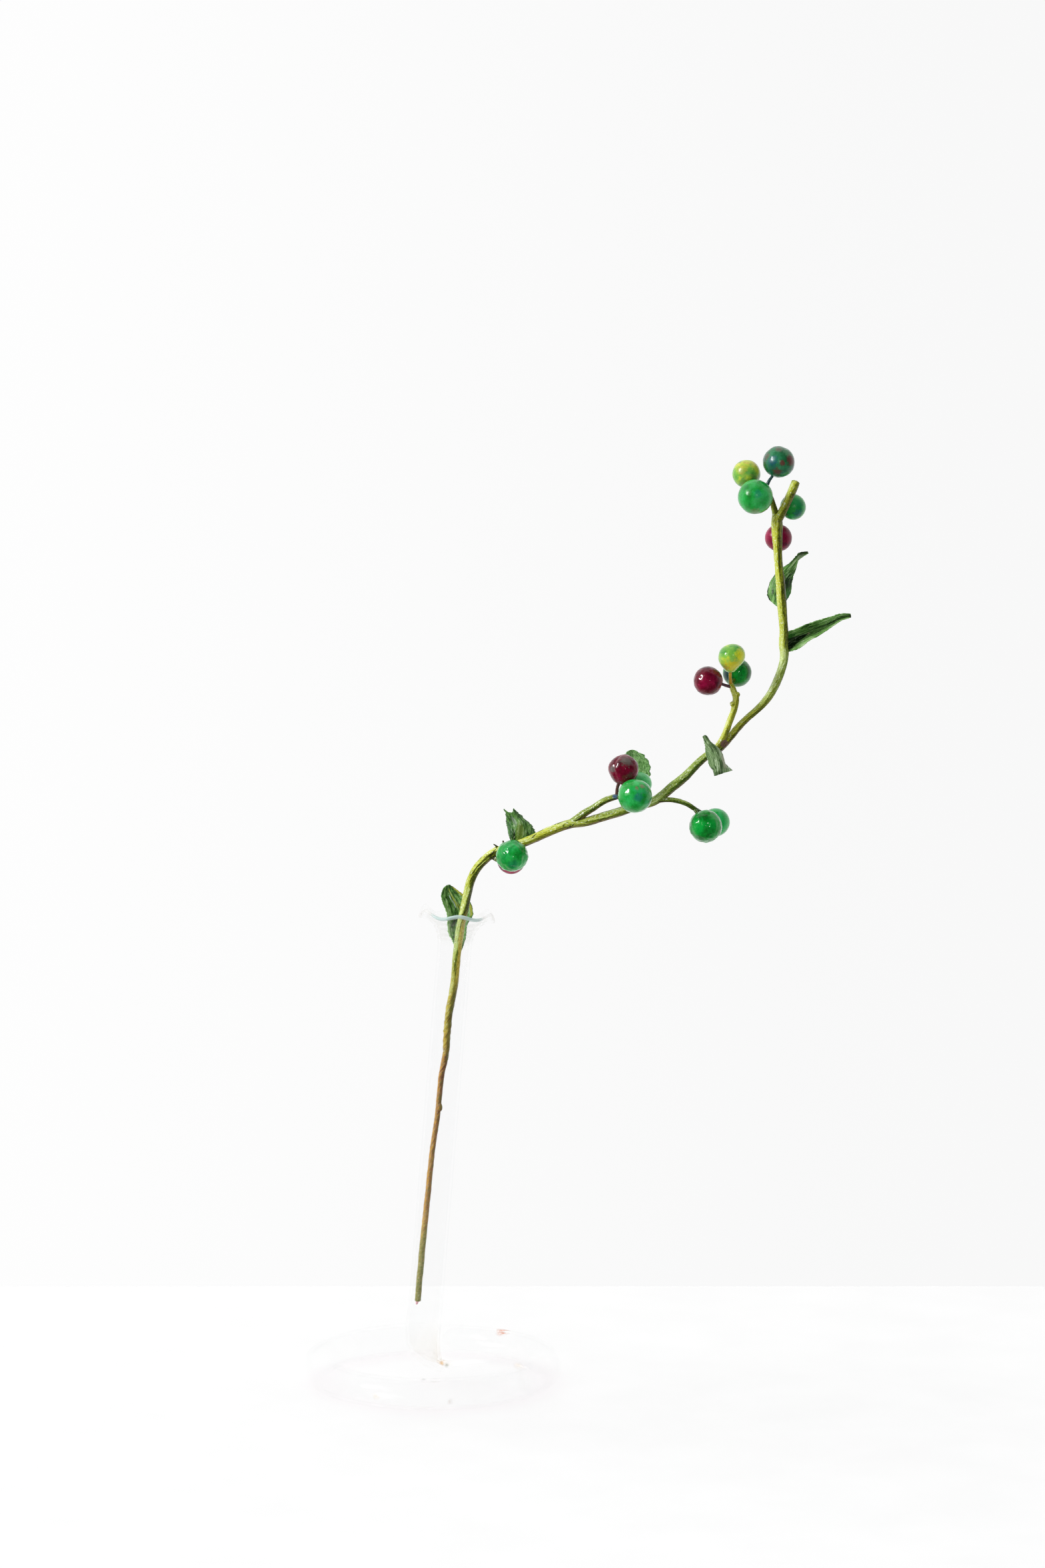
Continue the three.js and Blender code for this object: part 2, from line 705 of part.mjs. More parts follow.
// A cross-section of the ring's tube, turned so that one facet lies flat underneath.
function ringSection(angle, radius, sides) {
  const out = new THREE.Vector3(Math.cos(angle), Math.sin(angle), 0);
  const up = new THREE.Vector3(0, 0, 1);
  const middle = out.clone().multiplyScalar(GLASS.ringRadius);
  middle.z = GLASS.ringTube * Math.cos(Math.PI / GLASS.ringSides);
  return Array.from({ length: sides }, (_, j) => {
    const turn = Math.PI / 2 - (2 * Math.PI * (j + 0.5)) / sides;
    return middle
      .clone()
      .addScaledVector(out, radius * Math.cos(turn))
      .addScaledVector(up, radius * Math.sin(turn));
  });
}

// The ring's tube is even, but thinner along its right-hand back arm and pinched where its ends meet.
// turn is in degrees, from 0 to 360.
function ringTubeAt(turn) {
  const { ringTube, ringTubeRight, pinchTube, pinchAngle, pinchSpan } = GLASS;
  const arm = turn < pinchAngle ? THREE.MathUtils.smoothstep(turn, 15, pinchAngle - pinchSpan) : 0;
  const even = THREE.MathUtils.lerp(ringTube, ringTubeRight, arm);
  const share = THREE.MathUtils.smoothstep(Math.abs(turn - pinchAngle), 0, pinchSpan);
  return THREE.MathUtils.lerp(pinchTube, even, Math.sqrt(share));
}

function ringOutside() {
  const { pinchAngle, pinchSpan, ringSides, ringStep } = GLASS;
  const turns = [];
  for (let turn = 0; turn < 360; turn += ringStep)
    if (Math.abs(turn - pinchAngle) > pinchSpan + 2) turns.push(turn);
  for (const share of [-1, -0.6, -0.25, 0, 0.25, 0.6, 1]) turns.push(pinchAngle + share * pinchSpan);
  turns.sort((a, b) => a - b);
  const sections = turns.map((turn) => ringSection(degrees(turn), ringTubeAt(turn), ringSides));
  return solid(skin(sections, true));
}

// The space inside the ring runs from one side of the pinch right round to the other.
function ringInside() {
  const { pinchAngle, ringBoreStart, ringBoreSteps, ringBoreSides, wall } = GLASS;
  const span = 360 - 2 * ringBoreStart;
  const sections = [];
  for (let i = 0; i <= ringBoreSteps; i++) {
    const turn = (pinchAngle + ringBoreStart + (span * i) / ringBoreSteps) % 360;
    const rounded = i === 0 || i === ringBoreSteps ? 0.5 : 1;
    sections.push(ringSection(degrees(turn), (ringTubeAt(turn) - wall) * rounded, ringBoreSides));
  }
  return solid(skin(sections));
}

function vaseBody() {
  const thinTube = drawnTube(DRAWN_ROUTE, GLASS.drawnTube, GLASS.drawnSides);
  const boreRoute = [...BORE_START, ...DRAWN_ROUTE, ...BORE_END];
  const bore = drawnTube(boreRoute, GLASS.bore, GLASS.boreSides);
  const glass = join([budTube(), thinTube, ringOutside()]);
  return glass.subtract(join([bore, ringInside()]));
}

const branch = new THREE.Group();

function addPiece(name, body, colour, { roughness, opacity = 1 }) {
  const material = new THREE.MeshStandardMaterial({
    color: COLOURS[colour],
    roughness,
    metalness: 0,
    opacity,
    transparent: opacity < 1,
    flatShading: true,
  });
  const mesh = new THREE.Mesh(geometryOf(body), material);
  mesh.name = name;
  branch.add(mesh);
}

const clearOfStem = stemBody(GAP);
addPiece("glass_vase", vaseBody(), "glass", { roughness: 0.03, opacity: 0.35 });
addPiece("stem", stemBody(), "stem", { roughness: 0.5 });
for (const [name, berry] of Object.entries(BERRIES))
  addPiece(name, berryBody(berry).subtract(clearOfStem), berry.colour, { roughness: 0.15 });
for (const [name, leaf] of Object.entries(LEAVES))
  addPiece(name, leafBody(leaf).subtract(clearOfStem), leaf.colour, { roughness: 0.6 });

// The origin goes under the middle of the whole object's box.
const box = new THREE.Box3().setFromObject(branch);
const middle = box.getCenter(new THREE.Vector3());
branch.position.set(-middle.x, -middle.y, -box.min.z);

const group = new THREE.Group();
group.add(branch);
export default group;
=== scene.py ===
import math
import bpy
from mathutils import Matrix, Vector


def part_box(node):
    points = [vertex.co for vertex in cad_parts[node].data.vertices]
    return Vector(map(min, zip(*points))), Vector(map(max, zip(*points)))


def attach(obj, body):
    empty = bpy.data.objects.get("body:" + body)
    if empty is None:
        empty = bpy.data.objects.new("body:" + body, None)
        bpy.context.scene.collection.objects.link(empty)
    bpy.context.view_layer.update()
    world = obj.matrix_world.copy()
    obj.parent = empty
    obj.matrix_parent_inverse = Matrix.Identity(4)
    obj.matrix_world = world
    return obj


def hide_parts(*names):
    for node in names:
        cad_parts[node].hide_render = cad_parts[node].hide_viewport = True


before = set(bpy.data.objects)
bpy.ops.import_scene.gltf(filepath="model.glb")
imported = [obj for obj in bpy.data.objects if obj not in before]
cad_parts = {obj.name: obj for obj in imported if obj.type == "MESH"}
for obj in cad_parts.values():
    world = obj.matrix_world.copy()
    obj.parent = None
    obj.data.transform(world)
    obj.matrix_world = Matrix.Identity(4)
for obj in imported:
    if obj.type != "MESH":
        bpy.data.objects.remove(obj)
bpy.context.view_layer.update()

from types import SimpleNamespace

import bpy
import numpy as np
from mathutils import Vector, noise

# Lengths are in millimetres from the centre of the vase's ring, on the table, with +X to the right and +Y
# away from the camera. place() turns them into metres in the row frame.
MM = 1000
RING_RADIUS = 51.3
RING_TUBE = 7.05
CAD_RING_REACH = 58.2546
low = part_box("glass_vase")[0]
RING_CENTRE = np.array([low[0] * MM + CAD_RING_REACH, low[1] * MM + CAD_RING_REACH, 0.0])


def place(points):
    return (np.asarray(points, float) + RING_CENTRE) / MM


# Curves and meshes


def smooth(points, per=14):
    """A dense centripetal curve through rows of [x, y, z, ...]. Columns past the third follow along."""
    p = np.asarray(points, float)
    p = np.vstack([2 * p[0] - p[1], p, 2 * p[-1] - p[-2]])
    out = []
    for i in range(1, len(p) - 2):
        p0, p1, p2, p3 = p[i - 1 : i + 3]
        gaps = [max(np.linalg.norm((b - a)[:3]) ** 0.5, 1e-4) for a, b in ((p0, p1), (p1, p2), (p2, p3))]
        t0, t1 = 0.0, gaps[0]
        t2 = t1 + gaps[1]
        t3 = t2 + gaps[2]
        t = np.linspace(t1, t2, per, endpoint=False)[:, None]
        a1 = (t1 - t) / (t1 - t0) * p0 + (t - t0) / (t1 - t0) * p1
        a2 = (t2 - t) / (t2 - t1) * p1 + (t - t1) / (t2 - t1) * p2
        a3 = (t3 - t) / (t3 - t2) * p2 + (t - t2) / (t3 - t2) * p3
        b1 = (t2 - t) / (t2 - t0) * a1 + (t - t0) / (t2 - t0) * a2
        b2 = (t3 - t) / (t3 - t1) * a2 + (t - t1) / (t3 - t1) * a3
        out.append((t2 - t) / (t2 - t1) * b1 + (t - t1) / (t2 - t1) * b2)
    out.append(p[-2][None, :])
    return np.vstack(out)


def distances(points):
    """How far along its line each point is."""
    return np.concatenate([[0], np.cumsum(np.linalg.norm(np.diff(points[:, :3], axis=0), axis=1))])


def evenly(points, step):
    """The same curve with points a step apart, and their distances along it."""
    dense = smooth(points)
    run = distances(dense)
    at = np.linspace(0, run[-1], max(4, int(round(run[-1] / step)) + 1))
    return np.stack([np.interp(at, run, column) for column in dense.T], axis=1), at


def unit(vector):
    return vector / np.linalg.norm(vector)


def frames(points):
    """Directions along and across a curve, which turn with it as little as they can."""
    ahead = np.gradient(points, axis=0)
    ahead /= np.linalg.norm(ahead, axis=1)[:, None]
    side = np.zeros_like(points)
    first = np.cross(ahead[0], [0, 1, 0])
    if np.linalg.norm(first) < 0.1:
        first = np.cross(ahead[0], [1, 0, 0])
    side[0] = unit(first)
    for i in range(1, len(points)):
        side[i] = unit(side[i - 1] - ahead[i] * side[i - 1].dot(ahead[i]))
    return ahead, side, np.cross(ahead, side)


def around(sides):
    """Angles evenly round a circle."""
    return np.arange(sides) * 2 * math.pi / sides


def grain(x, y, z):
    """Smooth noise from about -1 to 1."""
    return noise.noise(Vector((x, y, z)))


def ease(x, start, end):
    """0 before start, 1 after end, and a smooth step between."""
    t = np.clip((np.asarray(x, float) - start) / (end - start), 0, 1)
    return t * t * (3 - 2 * t)


def new_object(name, data):
    made = bpy.data.objects.new(name, data)
    bpy.context.scene.collection.objects.link(made)
    return made


class Shape:
    """Gathers closed skins into one mesh, with numbers on its points for the materials."""

    def __init__(self):
        self.points, self.faces, self.marks = [], [], {}

    def add(self, points, faces, **marks):
        start = len(self.points)
        self.points.extend(points)
        self.faces.extend(tuple(start + k for k in face) for face in faces)
        for name, values in marks.items():
            self.marks.setdefault(name, []).append((start, np.asarray(values, float)))

    def build(self, name, *materials):
        mesh = bpy.data.meshes.new(name)
        mesh.from_pydata([tuple(p) for p in place(self.points)], [], self.faces)
        for mark, runs in self.marks.items():
            flat = runs[0][1].ndim == 1
            values = np.zeros((len(self.points),) if flat else (len(self.points), 3))
            for start, part in runs:
                values[start : start + len(part)] = part
            kind, field = ("FLOAT", "value") if flat else ("FLOAT_VECTOR", "vector")
            mesh.attributes.new(mark, kind, "POINT").data.foreach_set(field, values.ravel())
        mesh.polygons.foreach_set("use_smooth", [True] * len(mesh.polygons))
        for material in materials:
            mesh.materials.append(material)
        mesh.update()
        return new_object(name, mesh)


def ring_faces(rings, sides, loop=False):
    """Quads between rings of points that run one after the other."""
    faces = []
    for i in range(rings if loop else rings - 1):
        a, b = i * sides, ((i + 1) % rings) * sides
        faces.extend((a + j, a + (j + 1) % sides, b + (j + 1) % sides, b + j) for j in range(sides))
    return faces


def closed(rings):
    """Points and faces of a skin over rings, with a fan at each end."""
    rings = [np.asarray(ring) for ring in rings]
    sides = len(rings[0])
    points = list(np.vstack(rings))
    faces = ring_faces(len(rings), sides)
    hub = len(points)
    points.extend([rings[0].mean(axis=0), rings[-1].mean(axis=0)])
    last = (len(rings) - 1) * sides
    for j in range(sides):
        k = (j + 1) % sides
        faces.append((hub, k, j))
        faces.append((hub + 1, last + j, last + k))
    return points, faces


# A bar's rounded end: how wide each of its rings is and how far out it stands, in shares of the radius.
BAR_END = [(0.35, 1.0), (0.72, 0.72), (0.93, 0.32)]
KNOT_REACH = 0.6


def swollen(radii, directions, centre, radius, knots):
    """A ring's radii, grown out to the surface of each round knot near it."""
    for at, size in knots:
        offset = centre - np.asarray(at)
        if np.linalg.norm(offset) > radius + size * KNOT_REACH:
            continue
        b = directions @ offset
        inside = b * b - offset.dot(offset) + size * size
        radii = np.maximum(radii, np.where(inside > 0, np.sqrt(np.maximum(inside, 0)) - b, 0))
    return radii


def bar(shape, route, sides, step, relief=None, knots=(), rounding=0.5, twist=None, **marks):
    """Adds a round closed bar along rows of [x, y, z, radius], with rounded ends.

    relief adds to the radius. twist turns the strip mark, which says where a point lies on the bar.
    """
    line, run = evenly(route, step)
    centre, radius = line[:, :3], line[:, 3]
    ahead, side, other = frames(centre)
    theta = around(sides)
    cos, sin = np.cos(theta), np.sin(theta)
    end = len(line) - 1
    stations = [(0, share, -bulge) for share, bulge in BAR_END]
    stations += [(i, 1, 0) for i in range(end + 1)]
    stations += [(end, share, bulge) for share, bulge in reversed(BAR_END)]
    rings, strip = [], []
    for i, share, bulge in stations:
        r = np.full(sides, radius[i])
        if relief:
            r = r + relief(theta, run[i])
        directions = np.outer(cos, side[i]) + np.outer(sin, other[i])
        r = swollen(r, directions, centre[i], radius[i], knots)
        middle = centre[i] + ahead[i] * bulge * rounding * radius[i]
        rings.append(middle + directions * (r * share)[:, None])
        turn = theta - (twist(run[i]) if twist else 0)
        strip.append(np.stack([np.cos(turn), np.sin(turn), np.full(sides, run[i])], axis=1))
    points, faces = closed(rings)
    strip = np.vstack(strip + [[[0, 0, 0], [0, 0, run[-1]]]])
    each = {name: np.full(len(points), float(value)) for name, value in marks.items()}
    shape.add(points, faces, strip=strip, **each)


# Node helpers


def node(tree, kind, values=None, **settings):
    made = tree.nodes.new("ShaderNode" + kind)
    for name, value in settings.items():
        setattr(made, name, value)
    for key, value in (values or {}).items():
        if isinstance(value, bpy.types.NodeSocket):
            tree.links.new(value, made.inputs[key])
        else:
            made.inputs[key].default_value = value
    return made


def rgba(colour):
    """A colour with its alpha. A socket stays as it is."""
    if isinstance(colour, bpy.types.NodeSocket):
        return colour
    return (*colour, 1.0)


def mix(tree, share, a, b, blend="MIX"):
    values = {0: share, 6: rgba(a), 7: rgba(b)}
    return node(tree, "Mix", values, data_type="RGBA", blend_type=blend).outputs[2]


def layered(tree, colour, layers):
    """The colour under layers of (share, tone), the first of them lowest."""
    for share, tone in layers:
        colour = mix(tree, share, colour, tone)
    return colour


def math_node(tree, operation, a, b=0.0):
    return node(tree, "Math", {0: a, 1: b}, operation=operation).outputs[0]


def times(tree, product, *values):
    for value in values:
        product = math_node(tree, "MULTIPLY", product, value)
    return product


def total(tree, *values):
    """The sum of values and (value, share) pairs. A pair adds share times what its value is off 0.5."""
    sum_of = 0.0
    for value in values:
        if isinstance(value, tuple):
            value = times(tree, math_node(tree, "SUBTRACT", value[0], 0.5), value[1])
        sum_of = math_node(tree, "ADD", sum_of, value)
    return sum_of


def span(tree, value, low, high, bottom=0.0, top=1.0):
    """The value from low to high becomes bottom to top, by a smooth step."""
    values = {"Value": value, "From Min": low, "From Max": high, "To Min": bottom, "To Max": top}
    return node(tree, "MapRange", values, interpolation_type="SMOOTHSTEP").outputs["Result"]


def stops(levels, *colours):
    return list(zip(levels, colours))


def ramp(tree, value, stops):
    made = node(tree, "ValToRGB", {"Fac": value})
    elements = made.color_ramp.elements
    while len(elements) < len(stops):
        elements.new(0.5)
    for element, (position, colour) in zip(elements, stops):
        element.position = position
        element.color = rgba(colour)
    return made.outputs["Color"]


def clouds(tree, vector, scale, detail=3.0, roughness=0.55, distortion=0.0):
    values = {"Vector": vector, "Scale": scale, "Detail": detail, "Roughness": roughness}
    values["Distortion"] = distortion
    return node(tree, "TexNoise", values).outputs["Fac"]


def thin_lines(tree, value, level, width):
    """1 on the thin lines where the value passes through the level."""
    apart = math_node(tree, "ABSOLUTE", math_node(tree, "SUBTRACT", value, level))
    return span(tree, apart, width * 0.3, width, 1.0, 0.0)


def axes(tree, vector):
    return node(tree, "SeparateXYZ", {"Vector": vector}).outputs


def millimetres(tree, shift=(0, 0, 0)):
    """Object coordinates in millimetres from the ring's centre, moved by shift."""
    coordinates = node(tree, "TexCoord").outputs["Object"]
    location = tuple(-float(c) + s for c, s in zip(RING_CENTRE, shift))
    values = {"Vector": coordinates, "Location": location, "Scale": (MM, MM, MM)}
    return node(tree, "Mapping", values).outputs["Vector"]


def mark_vector(tree, name, scale=(1, 1, 1), shift=(0, 0, 0)):
    vector = node(tree, "Attribute", attribute_name=name).outputs["Vector"]
    return node(tree, "Mapping", {"Vector": vector, "Scale": scale, "Location": shift}).outputs["Vector"]


def mark_value(tree, name):
    return node(tree, "Attribute", attribute_name=name).outputs["Fac"]


def facing_to(tree, direction):
    """How squarely the surface faces a direction, from -1 to 1."""
    values = {0: node(tree, "TexCoord").outputs["Normal"], 1: direction}
    return node(tree, "VectorMath", values, operation="DOT_PRODUCT").outputs["Value"]


def spot(tree, vector, centre, inner, outer):
    """1 within inner of the centre, 0 past outer."""
    distance = node(tree, "VectorMath", {0: vector, 1: centre}, operation="DISTANCE").outputs["Value"]
    return span(tree, distance, inner, outer, 1.0, 0.0)


def new_material(name):
    material = bpy.data.materials.new(name)
    material.use_nodes = True
    tree = material.node_tree
    tree.nodes.clear()
    output = node(tree, "OutputMaterial")
    return material, tree, output


def bump(tree, height, strength, distance_mm):
    values = {"Strength": strength, "Distance": distance_mm / MM, "Height": height}
    return node(tree, "Bump", values).outputs["Normal"]


def finish_material(tree, output, colour, roughness, normal=None, **constants):
    values = {"Base Color": colour, "Roughness": roughness}
    if normal is not None:
        values["Normal"] = normal
    values.update({name.replace("_", " "): value for name, value in constants.items()})
    shader = node(tree, "BsdfPrincipled", values)
    tree.links.new(shader.outputs["BSDF"], output.inputs["Surface"])


# Camera

CAMERA_PLACE = (40.65, -2572.0, 657.5)
CAMERA_PITCH = 8.53
FOCAL_PIXELS, FRAME_PIXELS, SENSOR = 8800.0, 2352.0, 36.0


def make_camera():
    lens = bpy.data.cameras.new("camera")
    lens.sensor_fit = "VERTICAL"
    lens.sensor_height = SENSOR
    lens.lens = FOCAL_PIXELS / FRAME_PIXELS * SENSOR
    lens.clip_end = 20
    camera = new_object("camera", lens)
    camera.location = place([CAMERA_PLACE])[0]
    camera.rotation_euler = (math.radians(90 - CAMERA_PITCH), 0, 0)
    bpy.context.scene.camera = camera


make_camera()

# Table

TABLE_SIDE, TABLE_FRONT, TABLE_BACK = 2600, -3200, 186.0
TABLE_THICK, TABLE_EDGE = 25.0, 3


def make_table():
    material, tree, output = new_material("pale_table")
    cloud = clouds(tree, millimetres(tree), 0.02, 2)
    colour = ramp(tree, cloud, [(0.3, (0.825, 0.825, 0.825)), (0.7, (0.845, 0.845, 0.845))])
    finish_material(tree, output, colour, 0.55)
    mesh = bpy.data.meshes.new("table")
    outline = ((-TABLE_SIDE, TABLE_FRONT), (TABLE_SIDE, TABLE_FRONT), (TABLE_SIDE, TABLE_BACK),
               (-TABLE_SIDE, TABLE_BACK))
    corners = [(x, y, z) for z in (-TABLE_THICK, 0) for x, y in outline]
    faces = [(3, 2, 1, 0), (4, 5, 6, 7), (0, 1, 5, 4), (1, 2, 6, 5), (2, 3, 7, 6), (3, 0, 4, 7)]
    mesh.from_pydata([tuple(p) for p in place(corners)], [], faces)
    mesh.materials.append(material)
    table = new_object("table", mesh)
    rounded = table.modifiers.new("rounded", "BEVEL")
    rounded.width = TABLE_EDGE / MM
    rounded.segments = 3
    # As through a polarising filter, the table doesn't shine back from what stands on it.
    table.visible_glossy = False
    return table


table = make_table()

# Light

LIT_PLACE = (60, 0, 220)
# Each lamp: the way to it from the branch, how many metres off it is, its width and height in metres, and its
# watts. The windows light all but the table, which has an even lamp of its own and so no streak of shadow.
WINDOWS = {
    "window": ((-0.76, -0.36, 0.54), 2.2, 0.34, 0.7, 38),
    "curtain": ((-0.70, -0.5, 0.5), 2.3, 1.0, 1.3, 8),
    "small_window": ((0.22, -0.93, 0.34), 2.6, 0.13, 0.17, 2.6),
}
TABLE_LAMP = ((-0.3, 0.2, 1.0), 5.0, 4.0, 4.0, 160)
ROOM_LAMPS = {
    "overhead": ((0.0, -0.1, 1.0), 2.4, 2.4, 2.4, 15),
    "fill": ((0.1, -1.0, 0.25), 2.6, 2.0, 1.4, 9),
}


def soft_light(name, direction, distance, width, height, watts, seen=False):
    """A rectangular lamp that faces the middle of the branch. seen: it shows up in reflections."""
    lamp = bpy.data.lights.new(name, "AREA")
    lamp.shape = "RECTANGLE"
    lamp.size, lamp.size_y = width, height
    lamp.energy = watts
    holder = new_object(name, lamp)
    towards = Vector(direction).normalized()
    holder.location = Vector(place([LIT_PLACE])[0]) + towards * distance
    holder.rotation_euler = towards.to_track_quat("Z", "Y").to_euler()
    holder.visible_glossy = seen
    return holder


def link_to_table(holder, state):
    """With INCLUDE the lamp lights the table alone, and with EXCLUDE all but the table."""
    lit = bpy.data.collections.new(holder.name + "_lights")
    lit.objects.link(table)
    lit.collection_objects[0].light_linking.link_state = state
    holder.light_linking.receiver_collection = lit


def make_lights():
    for name, lamp in WINDOWS.items():
        link_to_table(soft_light(name, *lamp, seen=True), "EXCLUDE")
    link_to_table(soft_light("table_light", *TABLE_LAMP), "INCLUDE")
    for name, lamp in ROOM_LAMPS.items():
        soft_light(name, *lamp)


def make_world():
    """A bright backdrop that falls off a little to the right.

    What it lights sees a room that is dim on the camera's side, as a photographer's own side is, but any view
    of it shows the backdrop.
    """
    world = bpy.data.worlds.new("studio")
    bpy.context.scene.world = world
    world.use_nodes = True
    tree = world.node_tree
    tree.nodes.clear()
    output = node(tree, "OutputWorld")
    way = axes(tree, node(tree, "TexCoord").outputs["Generated"])
    room = span(tree, way["Y"], -0.45, 0.35, 0.05, 1.0)
    across = span(tree, way["X"], -0.12, 0.09, 0.99, 0.94)
    seen = node(tree, "LightPath").outputs["Is Camera Ray"]
    strength = times(tree, math_node(tree, "MAXIMUM", room, seen), across)
    background = node(tree, "Background", {"Color": (1, 1, 1, 1), "Strength": strength})
    tree.links.new(background.outputs["Background"], output.inputs["Surface"])


make_lights()
make_world()
bpy.context.scene.view_settings.view_transform = "Standard"
# A look through the vase crosses up to sixteen skins of clear glass.
bpy.context.scene.cycles.transparent_max_bounces = 32


def settle(piece, slot, *nodes):
    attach(piece, "root")
    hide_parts(*nodes)


# The glass vase

LEAN = math.radians(4.66)
BUD_TUBE, WALL = 7.7, 1.35
NECK, RIM = 200.0, 213.5
RUFFLES, RUFFLE_HEIGHT, RUFFLE_TURN = 6, 2.0, math.radians(87)


def lean(points):
    """From the bud tube's own upright frame to the vase's."""
    p = np.asarray(points, float)
    c, s = math.cos(LEAN), math.sin(LEAN)
    return np.stack([p[:, 0] * c + p[:, 2] * s - 5.8, p[:, 1], p[:, 2] * c - p[:, 0] * s], axis=1)


# Dried residue: its middle, how far it reaches, its colour, and how much it hides.
STAINS = [
    ((4.0, -2.0, 12.0), 8.0, (0.92, 0.78, 0.56), 0.08),
    ((3.8, -1.5, 9.0), 2.6, (0.80, 0.46, 0.16), 0.6),
    ((6.6, -2.0, 8.0), 1.6, (0.20, 0.21, 0.12), 0.4),
    ((-1.5, -1.0, 17.0), 13.0, (0.94, 0.88, 0.72), 0.07),
    ((39.0, -18.5, 11.5), 3.4, (0.70, 0.56, 0.34), 0.16),
    ((43.5, -22.5, 7.0), 4.5, (0.70, 0.56, 0.36), 0.14),
    ((32.0, 40.5, 12.6), 4.2, (0.62, 0.20, 0.08), 0.7),
    ((-3.0, -52.0, 14.0), 1.8, (0.3, 0.28, 0.25), 0.25),
    ((2.0, -50.0, 12.0), 3.0, (0.75, 0.6, 0.4), 0.2),
    ((9.0, -57.0, 5.0), 2.0, (0.55, 0.42, 0.35), 0.25),
    ((-24.0, -52.0, 6.0), 2.4, (0.86, 0.70, 0.42), 0.2),
]

def mix_shader(tree, share, under, over):
    return node(tree, "MixShader", {0: share, 1: under, 2: over}).outputs["Shader"]


def plain_shader(tree, kind, colour, **settings):
    return node(tree, "Bsdf" + kind, {"Color": rgba(colour), **settings}).outputs["BSDF"]


def clear_skin(tree, at):
    """See-through glass with a trace of real refraction, and gloss that grows towards its edges."""
    facing = node(tree, "LayerWeight", {"Blend": 0.5}).outputs["Facing"]
    # The fire-polished flare and the ring on its white table show less than the tube's walls.
    height = axes(tree, at)["Z"]
    above_neck = span(tree, height, NECK - 2, NECK + 6, 1.0, 0.3)
    shows = times(tree, above_neck, span(tree, height, 15, 22, 0.75, 1.0))
    walls = times(tree, span(tree, facing, 0.5, 1.0), shows)
    tint = mix(tree, walls, (0.999, 0.9993, 0.9993), (0.981, 0.984, 0.984))
    clear = plain_shader(tree, "Transparent", tint)
    values = {"Base Color": (0.99, 0.996, 0.994, 1), "Roughness": 0.0, "IOR": 1.47}
    values["Transmission Weight"] = 1.0
    thick = node(tree, "BsdfPrincipled", values).outputs["BSDF"]
    body = mix_shader(tree, times(tree, shows, 0.01), clear, thick)
    mirror = plain_shader(tree, "Glossy", (1, 1, 1), Roughness=0.1)
    edge = times(tree, math_node(tree, "POWER", facing, 4.0), times(tree, shows, 0.2))
    return mix_shader(tree, math_node(tree, "ADD", edge, 0.005), body, mirror)


def lip_band_and_neck_haze(tree, surface):
    """The thick lip gets a pale band of painted reflection, and the neck below it a little milky haze,
    between its ribs.
    """
    bead = mark_value(tree, "bead")
    tone = mix(tree, span(tree, bead, 0.2, 0.6), (0.62, 0.60, 0.54), (0.46, 0.585, 0.56))
    band_and_haze = total(tree, times(tree, bead, 0.84), times(tree, mark_value(tree, "neck"), 0.07))
    return mix_shader(tree, band_and_haze, surface, plain_shader(tree, "Diffuse", tone))


def stained(tree, surface, at):
    """Spots of dried residue, and the tan film that lines the thin tube."""
    speckle = clouds(tree, at, 0.5, 4, 0.65)
    for middle, reach, colour, strength in STAINS:
        near = spot(tree, at, middle, reach * 0.2, reach)
        evenness = 0.6 if reach > 6 else 0.12
        share = times(tree, near, span(tree, speckle, 0.4, 0.62, evenness, 1.0), strength)
        surface = mix_shader(tree, share, surface, plain_shader(tree, "Diffuse", colour))
    lined = span(tree, mark_value(tree, "thin"), 0.4, 0.9)
    film = times(tree, lined, span(tree, speckle, 0.35, 0.65, 0.03, 0.07))
    return mix_shader(tree, film, surface, plain_shader(tree, "Diffuse", (0.50, 0.40, 0.22)))


def glass_material():
    """Clear glass: mostly see-through, with gloss that grows towards its edges, and some stains."""
    material, tree, output = new_material("clear_glass")
    at = millimetres(tree)
    surface = stained(tree, lip_band_and_neck_haze(tree, clear_skin(tree, at)), at)
    # Where the ring runs straight away from the front, its walls are clearest.
    sides = (spot(tree, at, (x, -6, RING_TUBE), 11, 20) for x in (-RING_RADIUS, RING_RADIUS))
    clearest = times(tree, math_node(tree, "MAXIMUM", *sides), 0.9)
    surface = mix_shader(tree, clearest, surface, plain_shader(tree, "Transparent", (1, 1, 1)))
    # Shadows and soft light pass the glass as good as unchanged.
    path = node(tree, "LightPath").outputs
    unseen = math_node(tree, "MAXIMUM", path["Is Shadow Ray"], path["Is Diffuse Ray"])
    surface = mix_shader(tree, unseen, surface, plain_shader(tree, "Transparent", (0.995, 0.989, 0.992)))
    tree.links.new(surface, output.inputs["Surface"])
    return material


# The bud tube's wall from its pulled tip up the outside, over the lip and down the inside: height, radius,
# shift to the right, and share of the mouth's waves.
INSIDE = BUD_TUBE - WALL
UP_OUTSIDE = [
    (5.6, 1.6, 8.6, 0), (6.6, 3.4, 7.4, 0), (8.4, 5, 5.2, 0), (11.5, 6.3, 2.8, 0), (15, 7.2, 1, 0),
    (20, BUD_TUBE, 0, 0), (40, BUD_TUBE, 0, 0), (110, BUD_TUBE, 0, 0), (180, BUD_TUBE, 0, 0),
    (NECK, BUD_TUBE, 0, 0), (NECK + 4, BUD_TUBE + 0.5, 0, 0.04), (NECK + 7, BUD_TUBE + 1.6, 0, 0.12),
    (NECK + 9.6, BUD_TUBE + 3.2, 0, 0.3), (NECK + 11.8, BUD_TUBE + 5.8, 0, 0.62), (RIM - 0.9, 16.5, 0, 1),
]
OVER_LIP = [(RIM - 0.6, 16.85, 0, 1), (RIM - 0.1, 17.08, 0, 1), (RIM + 0.4, 16.95, 0, 1)]
